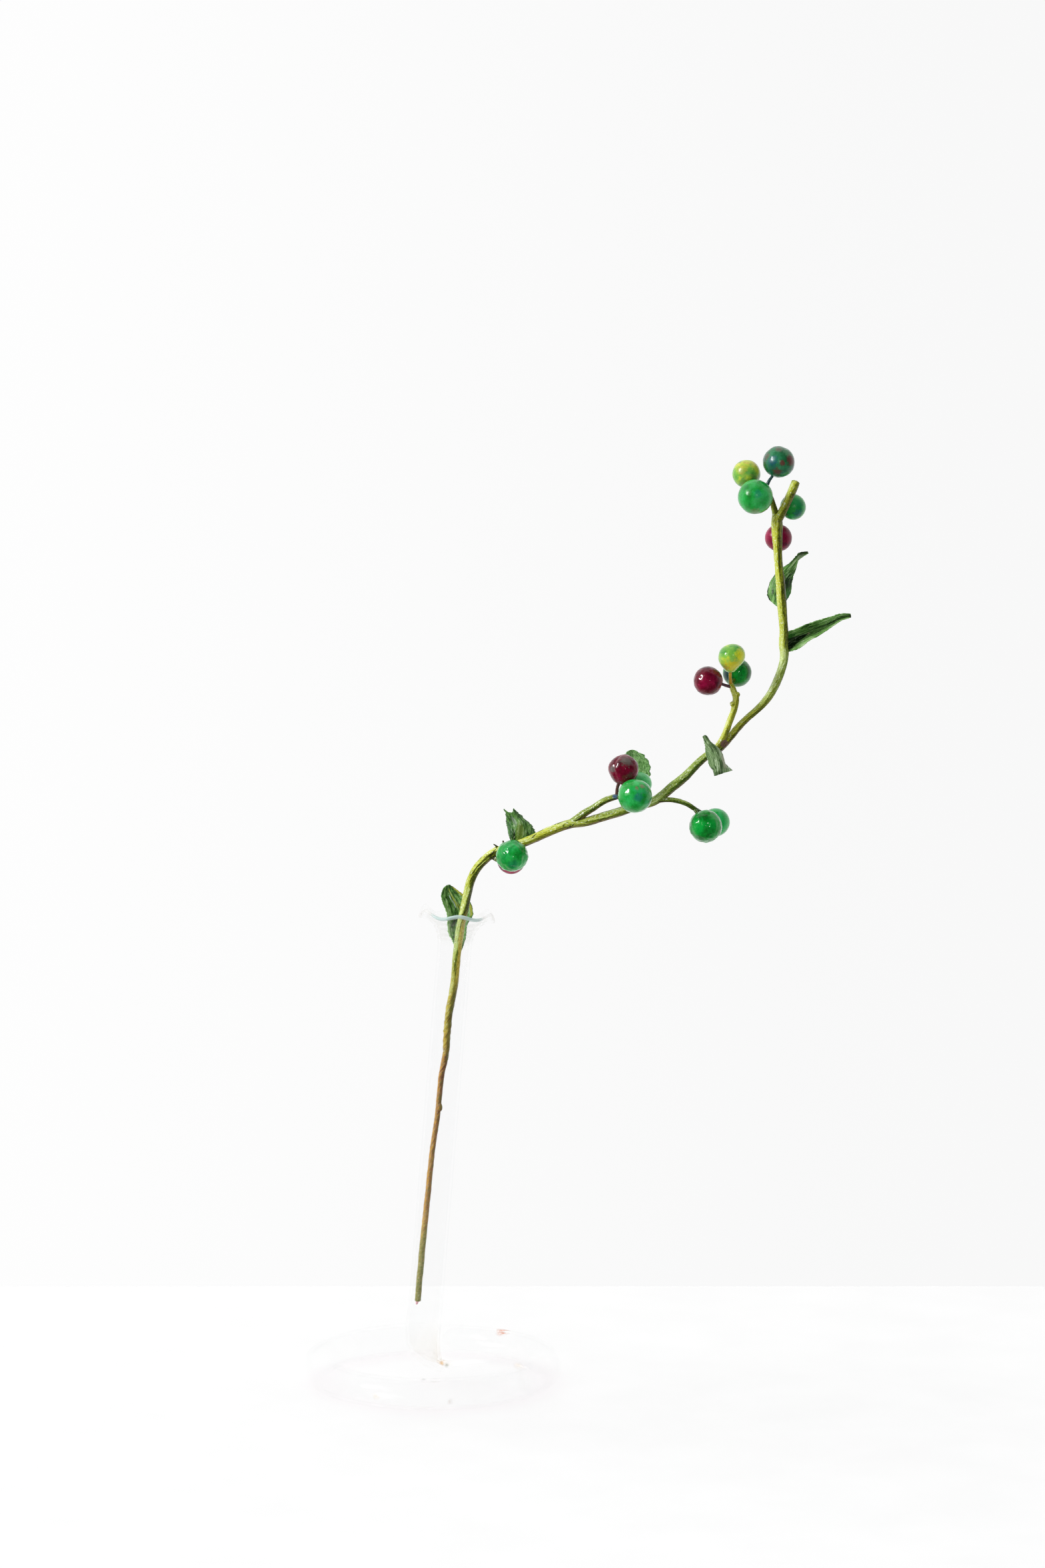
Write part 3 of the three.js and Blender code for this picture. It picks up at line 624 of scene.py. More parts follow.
DOWN_INSIDE = [
    (RIM + 0.65, 16.4, 0, 1), (RIM + 0.3, 15.6, 0, 0.95), (RIM - 0.3, 14.4, 0, 0.84),
    (NECK + 11.9, BUD_TUBE + 4.2, 0, 0.6), (NECK + 9.8, INSIDE + 3, 0, 0.3),
    (NECK + 7, INSIDE + 1.5, 0, 0.12), (NECK + 4, INSIDE + 0.5, 0, 0.04), (NECK, INSIDE, 0, 0),
    (180, INSIDE, 0, 0), (110, INSIDE, 0, 0), (40, INSIDE, 0, 0), (20.5, INSIDE, 0, 0),
    (15.6, 5.7, 1.1, 0), (12.4, 4.3, 3, 0), (10.2, 2.2, 5, 0), (9.3, 0.5, 5.8, 0),
]
RIB_DEPTH, RIB_TURN = 0.1, 2.6


def bud_tube(sides=108):
    profile = np.vstack([smooth(UP_OUTSIDE, 4)[:-1], smooth(OVER_LIP, 3)[:-1], smooth(DOWN_INSIDE, 4)])
    theta = around(sides)
    ripple = np.cos(RUFFLES * (theta + RUFFLE_TURN))
    uneven = np.cos(2 * theta + 0.7) * 0.35 + np.cos(3 * theta + 2.0) * 0.25
    # In front the lip's ruffles are flatter. Its pale band of painted reflection is strongest in front,
    # towards the camera, weaker on the sides and faint at the back.
    front = ease(-np.sin(theta), 0.66, 0.86)
    side = ease(-np.sin(theta), -0.2, 0.15)
    flatter = ease(-np.sin(theta), 0.2, 0.9)
    rings, bead, neck = [], [], []
    for height, radius, shift, wave in profile:
        ribbed = math.sin((height - NECK) * RIB_TURN)
        rib = RIB_DEPTH * ribbed if NECK + 2 < height < NECK + 10.5 else 0.0
        x = shift + (radius + rib) * np.cos(theta)
        y = (radius + rib) * np.sin(theta)
        z = height + wave * (RUFFLE_HEIGHT * ripple * (1 - 0.5 * flatter) + 1.7 * flatter + uneven)
        rings.append(lean(np.stack([x, y, z], axis=1)))
        bead.extend(float(ease(radius, 15.5, 16.3)) * (0.02 + 0.13 * side + 0.85 * front))
        in_neck = float(ease(height, NECK, NECK + 3) * ease(-radius, -14.5, -12.5))
        neck.extend([in_neck * (0.6 + 0.4 * ribbed)] * sides)
    points, faces = closed(rings)
    shape = Shape()
    shape.add(points, faces, bead=bead + [0, 0], neck=neck + [0, 0], thin=np.zeros(len(points)))
    return shape


# The ring's tube is pinched shut behind the bud tube. Angles are in degrees round from +X.
PINCH_TURN, PINCH_SPAN, PINCH_TUBE = 89.5, 4.2, 2.9
RIGHT_ARM_TUBE = 6.3
RING_BORE_START, RING_BORE_SPAN, RING_BORE_STEPS = PINCH_TURN + 4.0, 352, 140
RING_BORE_ENDS = {0: 0.3, 1: 0.75, RING_BORE_STEPS - 1: 0.75, RING_BORE_STEPS: 0.3}
RING_SIDES, BORE_SIDES = 36, 28


def ring_tube_at(turn):
    """Radius of the ring's tube at so many degrees round from +X."""
    arm = float(ease(turn, 15, PINCH_TURN - PINCH_SPAN)) if turn < PINCH_TURN else 0.0
    even = RING_TUBE + (RIGHT_ARM_TUBE - RING_TUBE) * arm
    share = math.sqrt(float(ease(abs(turn - PINCH_TURN), 0, PINCH_SPAN)))
    return PINCH_TUBE + (even - PINCH_TUBE) * share


def ring_section(turn, radius, sides):
    angle = math.radians(turn)
    out = np.array([math.cos(angle), math.sin(angle), 0])
    theta = math.pi / 2 - (np.arange(sides) + 0.5) * 2 * math.pi / sides
    middle = out * RING_RADIUS + np.array([0, 0, RING_TUBE])
    return middle + np.outer(radius * np.cos(theta), out) + np.outer(radius * np.sin(theta), [0, 0, 1])


def ring_skins():
    outside, inside = Shape(), Shape()
    turns = sorted(set(np.arange(0, 360, 2.5)) | set(PINCH_TURN + np.linspace(-5, 5, 21)))
    sections = [ring_section(turn, ring_tube_at(turn), RING_SIDES) for turn in turns]
    outside.add(list(np.vstack(sections)), ring_faces(len(sections), RING_SIDES, loop=True))
    sections = []
    for i in range(RING_BORE_STEPS + 1):
        turn = (RING_BORE_START + RING_BORE_SPAN * i / RING_BORE_STEPS) % 360
        radius = (ring_tube_at(turn) - WALL) * RING_BORE_ENDS.get(i, 1)
        sections.append(ring_section(turn, radius, BORE_SIDES))
    inside.add(*closed(sections))
    return outside, inside


THIN_TUBE, THIN_BORE = 1.8, 0.7
DRAWN_ROUTE = [
    (4.2, -0.4, 8.2), (7.5, -1, 7.9), (13.5, -3, 9.2), (20.6, -6, 10.7), (27, -9.6, 11.5),
    (33, -13.6, 11.8), (38.5, -17.6, 11.8), (42.6, -20.8, 10.6),
]
BORE_ROUTE = [(-1.2, 0, 13), (1, 0, 10.2), *DRAWN_ROUTE, (45, -22, 8.8)]


def carve(body, tools):
    """Applies union and difference with other closed meshes, which are then removed."""
    for tool, operation in tools:
        step = body.modifiers.new("join", "BOOLEAN")
        step.operation, step.object, step.solver = operation, tool, "EXACT"
    graph = bpy.context.evaluated_depsgraph_get()
    mesh = bpy.data.meshes.new_from_object(body.evaluated_get(graph))
    body.modifiers.clear()
    body.data = mesh
    for tool, _ in tools:
        bpy.data.objects.remove(tool)


def make_vase():
    body = bud_tube().build("vase_glass", glass_material())
    thin, bore = Shape(), Shape()
    bar(thin, [(*p, THIN_TUBE) for p in DRAWN_ROUTE], 24, 0.8, thin=1.0)
    bar(bore, [(*p, THIN_BORE) for p in BORE_ROUTE], 12, 1.0)
    outside, inside = ring_skins()
    carve(body, [
        (thin.build("thin"), "UNION"), (outside.build("outside"), "UNION"),
        (inside.build("inside"), "DIFFERENCE"), (bore.build("bore"), "DIFFERENCE"),
    ])
    body.data.polygons.foreach_set("use_smooth", [True] * len(body.data.polygons))
    settle(body, "clear_glass", "glass_vase")


make_vase()


# The wrapped stem

STEM_ROUTE = [
    (-6.5, 2.6, 36.5, 1.35), (-4.5, 2, 59, 1.4), (-2, 1, 83.5, 1.3), (0.5, 0, 107.5, 1.2),
    (2.5, -0.5, 121, 1.2), (4.5, -1.5, 140.5, 1.3), (6.5, -2, 151, 1.45), (7, -2.3, 160.5, 1.6),
    (8.5, -2.6, 172.5, 1.7), (10.3, -3, 183, 1.8), (11.6, -3.5, 196.5, 1.85), (12.5, -3.7, 203.5, 1.9),
    (13.5, -4, 210.5, 1.95), (14.8, -4.4, 216.5, 1.95), (16, -5, 222.5, 1.95), (17.6, -5.6, 229, 1.95),
    (20.5, -6.4, 235, 1.95), (24, -7.2, 239, 1.95), (28.5, -8, 242.5, 1.95), (34, -9, 244.5, 1.95),
    (40, -10, 246.7, 2), (46.5, -11, 249.5, 2.05), (54, -12, 253, 2.05), (61.5, -13, 255.8, 2.05),
    (69, -14, 257, 2), (76.5, -14.5, 259.3, 1.95), (83.5, -14.5, 261.4, 1.95), (91, -14.3, 264, 1.95),
    (98.3, -14, 266, 1.95), (102.7, -13.5, 269, 2), (107, -13, 272.6, 2.05), (112.5, -12, 277, 1.95),
    (117.7, -11, 282.3, 1.85), (122, -10.3, 285.8, 1.8), (125.2, -9.8, 287.2, 1.8), (129, -9, 290.3, 1.75),
    (132.4, -8.4, 294, 1.7), (135.7, -7.7, 298, 1.65), (139.7, -7, 302, 1.55), (143.5, -6.2, 305.2, 1.6),
    (147, -5.4, 308.5, 1.65), (150, -4.5, 312.3, 1.7), (152.5, -3.5, 317, 1.75), (154.3, -2.5, 321, 1.8),
    (155.8, -1.5, 325.5, 1.8), (156.4, -0.8, 329.6, 1.85), (156, 0, 334, 1.95), (156.2, 0.8, 339.5, 1.95),
    (155.8, 1.5, 345, 2), (155.5, 2, 349, 2.1), (154.9, 2.8, 355.5, 2.1), (154.5, 3.5, 362.3, 2),
    (153.8, 4.2, 369, 1.8), (153.4, 5, 375.7, 1.95), (153.1, 5.6, 382.5, 2.3), (153, 6.1, 387.5, 2.4),
    (152.9, 6.4, 391.5, 1.9),
]
# Each twig: its route, how light its paint is, and how leaf-green.
TWIGS = [
    ([(152.9, 6.2, 389, 1.6), (151.5, 5.5, 394.5, 1.3), (150.4, 5, 398, 1.2), (149, 4.5, 401, 1.15),
      (148.2, 4.5, 403.6, 1.05)], 0.04, 0.4),
    ([(153.3, 6, 388.5, 2), (155.3, 5.5, 392.5, 1.9), (157.7, 4.5, 397.7, 1.85), (160, 4, 403, 1.95),
      (161, 4, 405.6, 1.9)], 0.1, 0.3),
    ([(124, -9.8, 285.5, 1.2), (126.5, -9.7, 289, 1.6), (129, -10, 293.3, 1.5), (130.6, -10.5, 297.3, 1.45),
      (132.4, -10.5, 302.4, 1.4), (134, -10, 306.9, 1.45), (134.7, -9.5, 311.6, 1.4), (133.4, -9, 315.4, 1.3),
      (132.5, -9, 317.5, 1.1)], 0.19, -0.1),
    ([(61, -13, 255.6, 1.4), (64.5, -13.6, 258, 1.7), (68, -14.3, 260.8, 1.6), (71.2, -15, 262.8, 1.5),
      (77, -16.5, 266.8, 1.45), (82.8, -17.5, 269, 1.3)], -0.04, 0.6),
    ([(96, -13.8, 265, 1.3), (99.5, -14, 266.4, 1.4), (104, -14.5, 266.9, 1.15), (108.5, -15, 266.6, 1.1),
      (113.2, -15, 265.1, 1.1), (116.9, -14.5, 262.7, 1)], -0.01, 0.7),
    ([(26.8, -8, 240.8, 1.1), (28.2, -9, 239.8, 0.9), (29.6, -10.3, 239, 0.75)], -0.15, 0.4),
]
KNOTS = [
    ((7.8, -3.2, 183.6), 1.2), ((6.2, -2.4, 160.8), 1.0), ((14.2, -5.2, 214.5), 1.2),
    ((29.2, -8.6, 244.2), 1.1), ((133.2, -10.4, 309), 1.2), ((135.4, -9.6, 313), 1.2),
    ((155.4, 0.4, 336.5), 1.5),
]
# The stem's paint from its foot up: height, how light it is, how leaf-green it is, and how dark the
# painted shade is on its side away from the light.
STEM_TONES = [
    (36, 0.26, 0.6, 0), (60, 0.31, 0.4, 0), (95, 0.29, 0.1, 0), (118, 0.20, 0.0, 0), (140, 0.12, 0.0, 0.1),
    (152, 0.13, 0.2, 0.3), (168, 0.17, 0.4, 0.5), (186, 0.18, 0.6, 0.4), (200, 0.20, 0.75, 0.1),
    (212, 0.16, 0.65, 0.2), (220, 0.16, 0.4, 0.8), (230, 0.18, 0.35, 1), (242, 0.20, 0.35, 0.9),
    (246, 0.18, 0.25, 0.2), (252, 0.15, 0.25, 0), (257, 0.11, 0.5, 0), (262, 0.14, 0.65, 0),
    (267, 0.28, 0.85, 0), (273, 0.04, 0.8, 0), (285, -0.01, 0.7, 0.1), (292, 0.03, 0.3, 0.2),
    (302, 0.08, 0.35, 0.2), (312, 0.22, 0.6, 0), (326, 0.23, 0.75, 0), (334, 0.16, 0.4, 0.3),
    (392, 0.15, 0.2, 0.3),
]

def paper_relief(seed, twist, lap, crease, first=1.0):
    """Turns of paper strip, lengthwise creases and small wrinkles, in millimetres.

    The first 100 mm of the bar get the first share of them.
    """

    def relief(theta, run):
        turn = theta / (2 * math.pi) - twist(run) / (2 * math.pi)
        within = turn - np.floor(turn)
        edge = np.where(within < 0.9, 1 - within / 0.9, (within - 0.9) / 0.1)
        # The overlap is not even: in places the strip's edge is pressed flat.
        pressed = 0.5 + 0.5 * grain(seed + 3.1, run / 9, 1.7)
        heights = lap * pressed * (edge - 0.5)
        for k, angle in enumerate(theta):
            c, s = math.cos(angle - twist(run)), math.sin(angle - twist(run))
            heights[k] += crease * grain(c * 1.3 + seed, s * 1.3, run / 30)
            fold = abs(grain(c * 2.6, s * 2.6 + seed, run / 14))
            heights[k] += crease * (0.28 - 1.3 * fold)
            heights[k] += crease * 0.3 * grain(c * 5.5 + seed, s * 5.5, run / 2.6)
            heights[k] += crease * 0.25 * grain(c * 2.2 + seed, s * 2.2, run / 1.7)
        return heights * (first + (1 - first) * ease(run, 100, 130))

    return relief


def flattened(share):
    """Relief that takes a bar 1 mm in radius down to a share of its depth."""
    return lambda theta, run: share / np.sqrt((share * np.cos(theta)) ** 2 + np.sin(theta) ** 2) - 1


def winding(pitch_low, pitch_high, change):
    """Angle that the strip has wound through after so much stem. Its pitch goes up round the change."""
    run = np.linspace(0, 700, 1401)
    pitch = pitch_low + (pitch_high - pitch_low) * ease(run, change - 15, change + 15)
    angle = np.concatenate([[0], np.cumsum(0.5 / pitch[:-1])]) * 2 * math.pi
    return lambda at: float(np.interp(at, run, angle))


def leaning_noise(tree, at, degrees, along, across):
    """Noise in strokes that lean to the right by so many degrees from level."""
    values = {"Vector": at, "Rotation": (0, -math.radians(degrees), 0), "Scale": (along, across * 2, across)}
    turned = node(tree, "Mapping", values, vector_type="TEXTURE").outputs["Vector"]
    return clouds(tree, turned, 1.0, 2, 0.5, 0.4)


def stem_measures(tree):
    """What the stem's paint goes by: places on it, ways it faces, and noises that run along the strip."""

    def strokes(stretch, shift, *look):
        return clouds(tree, mark_vector(tree, "strip", stretch, shift), *look)

    at = millimetres(tree)
    return SimpleNamespace(
        at=at,
        height=axes(tree, at)["Z"],
        upper_left=facing_to(tree, (-0.68, -0.3, 0.66)),
        right=facing_to(tree, (0.88, -0.45, 0.1)),
        under=facing_to(tree, (0.35, -0.1, -0.93)),
        streak=strokes((1.7, 1.7, 0.05), (0, 0, 0), 1.3, 3, 0.6, 0.25),
        creases=strokes((1.2, 1.2, 0.045), (5, 2, 8), 1.3, 2, 0.5, 0.4),
        fleck=strokes((2.6, 2.6, 0.75), (7, 3, 1), 1.5, 4, 0.65),
        glint=strokes((2.0, 2.0, 0.8), (1, 6, 9), 1.3, 3, 0.6, 0.6),
        patch=strokes((0.8, 0.8, 0.08), (2, 9, 4), 1.0, 3, 0.6),
    )


def stem_sides(tree, stem):
    """Painted light: how light each side is, where the lit side is, and a light line that stands for the
    strip's seam.
    """
    # The stem's mark of how dark its painted shade is, on the side away from the light.
    split = mark_value(tree, "split")
    lit = total(tree, stem.upper_left, (stem.patch, 0.9), times(tree, split, -0.12))
    # The seam runs where the painted light has one level, so it follows the light and not the strip.
    seam = thin_lines(tree, lit, 0.34, 0.07)
    lit_side = span(tree, lit, 0.28, 0.44)
    shaded = times(tree, span(tree, lit, 0.2, 0.38, 1.0, 0.0), split)
    lit = total(tree, span(tree, lit, -0.35, 0.95, 0.25, 0.42), times(tree, lit_side, 0.15),
                times(tree, shaded, -0.26))
    return lit, lit_side, seam


def stem_brightness(tree, stem, lit, seam):
    """How light the paint is, with painted light, the seam, dark creases and dark slashes across the bend."""
    height = stem.height
    # In the vase the painted light and the streaks of paint are both evener.
    inside = total(tree, span(tree, height, 196, 216, 0.65, 1.0), span(tree, height, 100, 140, -0.15, 0.0))
    lit = math_node(tree, "ADD", times(tree, math_node(tree, "SUBTRACT", lit, 0.4), inside), 0.4)
    rough = total(tree, (stem.streak, 0.45), (stem.patch, 0.4), (stem.fleck, 0.6))
    slash = span(tree, leaning_noise(tree, stem.at, 48, 7.5, 1.4), 0.6, 0.65)
    slashed = times(tree, span(tree, height, 228, 240), span(tree, height, 264, 268, 1, 0))
    creased = thin_lines(tree, stem.creases, 0.5, 0.025)
    return total(tree, lit, mark_value(tree, "tone"), times(tree, rough, inside), times(tree, seam, 0.07),
                 times(tree, creased, -0.2), times(tree, slash, slashed, -0.4))


# The stem's paints, from dark to light.
STEM_LEVELS = (0.14, 0.30, 0.44, 0.57, 0.70, 0.84, 0.95)
YELLOW_PAINT = stops(
    STEM_LEVELS, (0.03, 0.035, 0.002), (0.10, 0.115, 0.005), (0.23, 0.25, 0.012), (0.36, 0.39, 0.022),
    (0.50, 0.54, 0.06), (0.62, 0.66, 0.18), (0.76, 0.80, 0.45))
GREEN_PAINT = stops(
    STEM_LEVELS, (0.016, 0.038, 0.002), (0.055, 0.105, 0.006), (0.13, 0.20, 0.02), (0.24, 0.335, 0.06),
    (0.38, 0.49, 0.14), (0.54, 0.64, 0.26), (0.70, 0.80, 0.48))
BROWN_PAINT = stops(
    (0.2, 0.34, 0.48, 0.60, 0.78), (0.05, 0.02, 0.012), (0.12, 0.055, 0.025), (0.22, 0.11, 0.045),
    (0.34, 0.18, 0.055), (0.48, 0.30, 0.10))
FOOT_PAINT = stops((0.36, 0.5, 0.62), (0.07, 0.11, 0.03), (0.20, 0.27, 0.10), (0.42, 0.27, 0.15))
GOLD_PAINT = stops((0.3, 0.5, 0.7), (0.22, 0.14, 0.03), (0.58, 0.46, 0.05), (0.72, 0.62, 0.14))
REDDISH, OLIVE, ORANGE_GOLD = (0.25, 0.085, 0.06), (0.14, 0.16, 0.05), (0.56, 0.30, 0.05)
UNDERSIDE, PAINTED_GLINT, WIRE_PINK = (0.19, 0.12, 0.045), (0.80, 0.87, 0.72), (0.80, 0.48, 0.52)
BINDING, BLUE_DAB = (0.15, 0.075, 0.065), (0.02, 0.07, 0.22)


def browned(tree, stem, bright, colour):
    """The lower part is brushed in red-brown and olive, with strokes of orange gold on its left."""
    olive = total(tree, (leaning_noise(tree, stem.at, 74, 3.0, 0.4), 1.0), (stem.right, 0.16))
    golden = total(tree, (leaning_noise(tree, stem.at, 66, 3.2, 0.42), 1.0), (stem.right, -0.14))
    brown = layered(tree, ramp(tree, bright, BROWN_PAINT), [
        (span(tree, stem.glint, 0.5, 0.55, 0, 0.7), REDDISH),
        (span(tree, olive, 0.06, 0.11, 0, 0.75), OLIVE),
        (span(tree, golden, 0.1, 0.15, 0, 0.85), ORANGE_GOLD),
    ])
    wavering = total(tree, stem.height, (stem.patch, 30), (stem.glint, 24))
    into_brown = total(tree, span(tree, wavering, 146, 160, 0.45, 0), span(tree, wavering, 166, 202, 0.5, 0))
    out_of_brown = span(tree, wavering, 50, 84, 0.6, 1)
    return layered(tree, colour, [
        (times(tree, into_brown, out_of_brown), brown),
        (span(tree, wavering, 56, 76, 0.7, 0), ramp(tree, stem.fleck, FOOT_PAINT)),
    ])


def with_details(tree, stem, lit_side, colour):
    """Old gold in the vase's neck, a brown underside, and painted highlights: pale flecks on the lit upper
    left.

    Then the wire's pink end, the binding in the fork twig's crotch, and a dab of blue on the elbow twig.
    """
    height, fleck = stem.height, stem.fleck
    in_neck = times(tree, span(tree, height, 176, 188), span(tree, height, 208, 217, 1, 0))
    gold = times(tree, in_neck, span(tree, total(tree, stem.right, (stem.patch, 0.8)), 0.5, 0.62), 0.75)
    under = span(tree, total(tree, stem.under, (fleck, 1.4)), 0.5, 0.9, 0, 0.75)
    # Painted highlights: pale flecks on the lit side, weaker low down.
    painted_glint_share = times(tree, span(tree, stem.glint, 0.57, 0.66), lit_side, span(tree, height, 150, 200, 0.3, 0.65))
    bound = spot(tree, stem.at, (129.6, -10.6, 291.4), 1.5, 2.1)
    dabbed = spot(tree, stem.at, (81.5, -18.2, 269.2), 0.8, 1.9)
    return layered(tree, colour, [
        (gold, ramp(tree, fleck, GOLD_PAINT)),
        (under, UNDERSIDE),
        (painted_glint_share, PAINTED_GLINT),
        (span(tree, height, 36.6, 36.0), WIRE_PINK),
        (times(tree, bound, span(tree, fleck, 0.36, 0.46, 0.3, 0.95)), BINDING),
        (times(tree, dabbed, span(tree, fleck, 0.35, 0.55, 0.3, 0.9)), BLUE_DAB),
    ])


def stem_material():
    material, tree, output = new_material("painted_paper_strip")
    stem = stem_measures(tree)
    lit, lit_side, seam = stem_sides(tree, stem)
    bright = stem_brightness(tree, stem, lit, seam)
    leafy = span(tree, total(tree, mark_value(tree, "green"), (stem.patch, 0.8)), 0.2, 0.8)
    colour = mix(tree, leafy, ramp(tree, bright, YELLOW_PAINT), ramp(tree, bright, GREEN_PAINT))
    colour = with_details(tree, stem, lit_side, browned(tree, stem, bright, colour))
    normal = bump(tree, total(tree, stem.fleck, (stem.creases, 0.6)), 0.8, 0.4)
    sheen = span(tree, stem.fleck, 0.35, 0.7, 0.2, 0.42)
    finish_material(tree, output, colour, sheen, normal, Specular_IOR_Level=0.12, Coat_Weight=0.35,
                    Coat_Roughness=0.1, Coat_IOR=1.5)
    return material


WIRE_END = [(-6.5, 2.6, 37.2, 0.75), (-6.7, 2.66, 36.0, 0.7), (-7.0, 2.72, 34.9, 0.45)]
# A torn flap of the strip stands off on the right, and a curl of it and a short end on the bend.
FLAP = [(3.5, -1.9, 124.6, 0.96), (3.8, -2.0, 125.7, 1.05), (3.7, -1.9, 126.8, 1.0), (3.3, -1.7, 127.7, 0.96)]
CURL = [(30.6, -8.6, 243.6, 0.4), (29.6, -9, 245, 0.36), (28.6, -9.3, 245.7, 0.32), (27.9, -9.2, 246.2, 0.22)]
SHORT_END = [(32.0, -8.8, 245.4, 0.45), (32.2, -8.9, 246.9, 0.42), (32.0, -8.9, 247.6, 0.35)]


def make_stem():
    shape = Shape()
    twist = winding(15.0, 230.0, 150)
    paper = paper_relief(0.0, twist, lap=0.16, crease=0.22, first=0.5)
    bar(shape, STEM_ROUTE, 44, 0.5, paper, KNOTS, 0.35, twist, tone=0, green=0, split=0)
    heights = np.array(shape.points)[:, 2]
    at, *values = zip(*STEM_TONES)
    for name, column in zip(("tone", "green", "split"), values):
        shape.marks[name][0] = (0, np.interp(heights, at, column))
    for k, (route, tone, green) in enumerate(TWIGS):
        twist = winding(150.0, 160.0, 20)
        paper = paper_relief(5.0 + k, twist, lap=0.12, crease=0.16)
        bar(shape, route, 32, 0.45, paper, KNOTS, 0.4, twist, tone=tone, green=green)
    bar(shape, WIRE_END, 16, 0.3, rounding=0.6, tone=0.1)
    bar(shape, FLAP, 20, 0.3, flattened(0.3), rounding=0.2, tone=0.14)
    bar(shape, CURL, 14, 0.3, rounding=0.6, tone=-0.3)
    bar(shape, SHORT_END, 14, 0.3, rounding=0.5, tone=-0.3)
    settle(shape.build("wrapped_stem", stem_material()), "wrapped_stem", "stem")


make_stem()


# Berries

BERRIES = {
    "crown_dark": ((153.6, 6, 414.3), 7, 1, [(148.2, 4.5, 403), (149.3, 4.9, 406), (151.2, 5.4, 408.6)]),
    "crown_lime": ((139.5, 9, 408.8), 6.2, 1, [(148.2, 4.5, 403), (145.6, 6.8, 405)]),
    "crown_front": ((143.1, -1.2, 399.7), 7.7, 1, [(150.4, 5, 398), (148.4, 2.8, 398.8)]),
    "crown_right": ((160.4, 13.5, 393.7), 5.7, 1, [(153, 6.1, 388), (156, 9.5, 390.3)]),
    "crown_red": ((154.1, 14.6, 379.8), 6, 1, [(153, 6, 386.5), (153.3, 9.8, 384.4)]),
    "fork_lime": ((132.7, -10, 329.6), 6, 1.12, [(132.6, -9, 316.6), (132.2, -9.3, 320),
                                                (132.2, -9.7, 323.5)]),
    "fork_red": ((122.3, -12.2, 319.4), 6.4, 1, [(132.8, -9, 316.4), (130.5, -9.8, 317), (128, -11, 318)]),
    "fork_green": ((135.6, 1.4, 321.3), 6.4, 1, [(132.8, -9, 316.8), (133.6, -5.8, 318)]),
    "elbow_red": ((85.1, -18.4, 280.9), 6.6, 1, [(82.2, -17.5, 269.2), (82.4, -17.8, 272.6)]),
    "elbow_back": ((92.6, -10.6, 273.4), 5.2, 1, [(82.8, -17.3, 268.9), (86.2, -14.4, 269.9)]),
    "elbow_front": ((90.1, -25.7, 270.3), 7.5, 1, [(82.8, -17.9, 268.8), (84.6, -20.4, 268.9)]),
    "hanging_front": ((121.3, -19.2, 255.8), 7.2, 1, [(116.8, -14.9, 262.4), (117.8, -16.8, 260.4)]),
    "hanging_back": ((126.2, -5.2, 255.4), 6.3, 1, [(117, -14.2, 262.7), (120.4, -11, 260.4)]),
    "bend_front": ((36, -18.7, 242.6), 7, 1, [(29.2, -10, 239.2), (31, -12.6, 239.9)]),
    "bend_red": ((35.6, -2.1, 237.8), 6.2, 1, [(29.2, -9.6, 239.2), (30.6, -7.4, 238.8)]),
}
# Paints of the berries: their colour from dark to light, the colour of the stalk, and the slot.
BERRY_LEVELS = (0.3, 0.5, 0.7)


def recoloured(look, *colours):
    return dict(look, ramp=stops(BERRY_LEVELS, *colours))


GREEN = {
    "ramp": stops(BERRY_LEVELS, (0.001, 0.15, 0.012), (0.004, 0.27, 0.03), (0.03, 0.42, 0.10)),
    "stalk": (0.06, 0.12, 0.01), "slot": "green_berry",
}
DEEP = recoloured(GREEN, (0.0, 0.07, 0.006), (0.0, 0.18, 0.014), (0.004, 0.28, 0.035))
PALE = recoloured(GREEN, (0.06, 0.46, 0.12), (0.14, 0.64, 0.24), (0.26, 0.74, 0.38))
MID = recoloured(GREEN, (0.004, 0.24, 0.03), (0.01, 0.38, 0.07), (0.04, 0.50, 0.14))
RED = {
    "ramp": stops(BERRY_LEVELS, (0.045, 0.0, 0.005), (0.13, 0.0, 0.014), (0.27, 0.003, 0.045)),
    "stalk": (0.09, 0.04, 0.035), "slot": "red_berry",
}
ROSE = recoloured(RED, (0.08, 0.001, 0.012), (0.19, 0.003, 0.03), (0.32, 0.012, 0.07))
PINK = recoloured(RED, (0.08, 0.0, 0.01), (0.21, 0.002, 0.03), (0.38, 0.012, 0.07))
LIME = {
    "ramp": stops((0.32, 0.46, 0.57, 0.7), (0.06, 0.27, 0.035), (0.17, 0.40, 0.045), (0.42, 0.52, 0.035),
                  (0.62, 0.48, 0.10)),
    "stalk": (0.20, 0.22, 0.02), "slot": "lime_berry",
}
DARK = {
    "ramp": stops((0.3, 0.48, 0.66), (0.004, 0.045, 0.018), (0.008, 0.12, 0.04), (0.03, 0.23, 0.10)),
    "stalk": (0.01, 0.05, 0.05), "slot": "dark_green_berry",
}
# Stalks that have a colour of their own, and coats of lacquer that are thinner than full.
STALKS = {"fork_lime": (0.42, 0.25, 0.02), "fork_red": (0.09, 0.045, 0.055)}
COATS = {"bend_red": 0.3, "crown_red": 0.5, "fork_red": 0.75, "elbow_red": 0.85}
CROWN_GLOSS, GLOSS = 0.26, 0.04


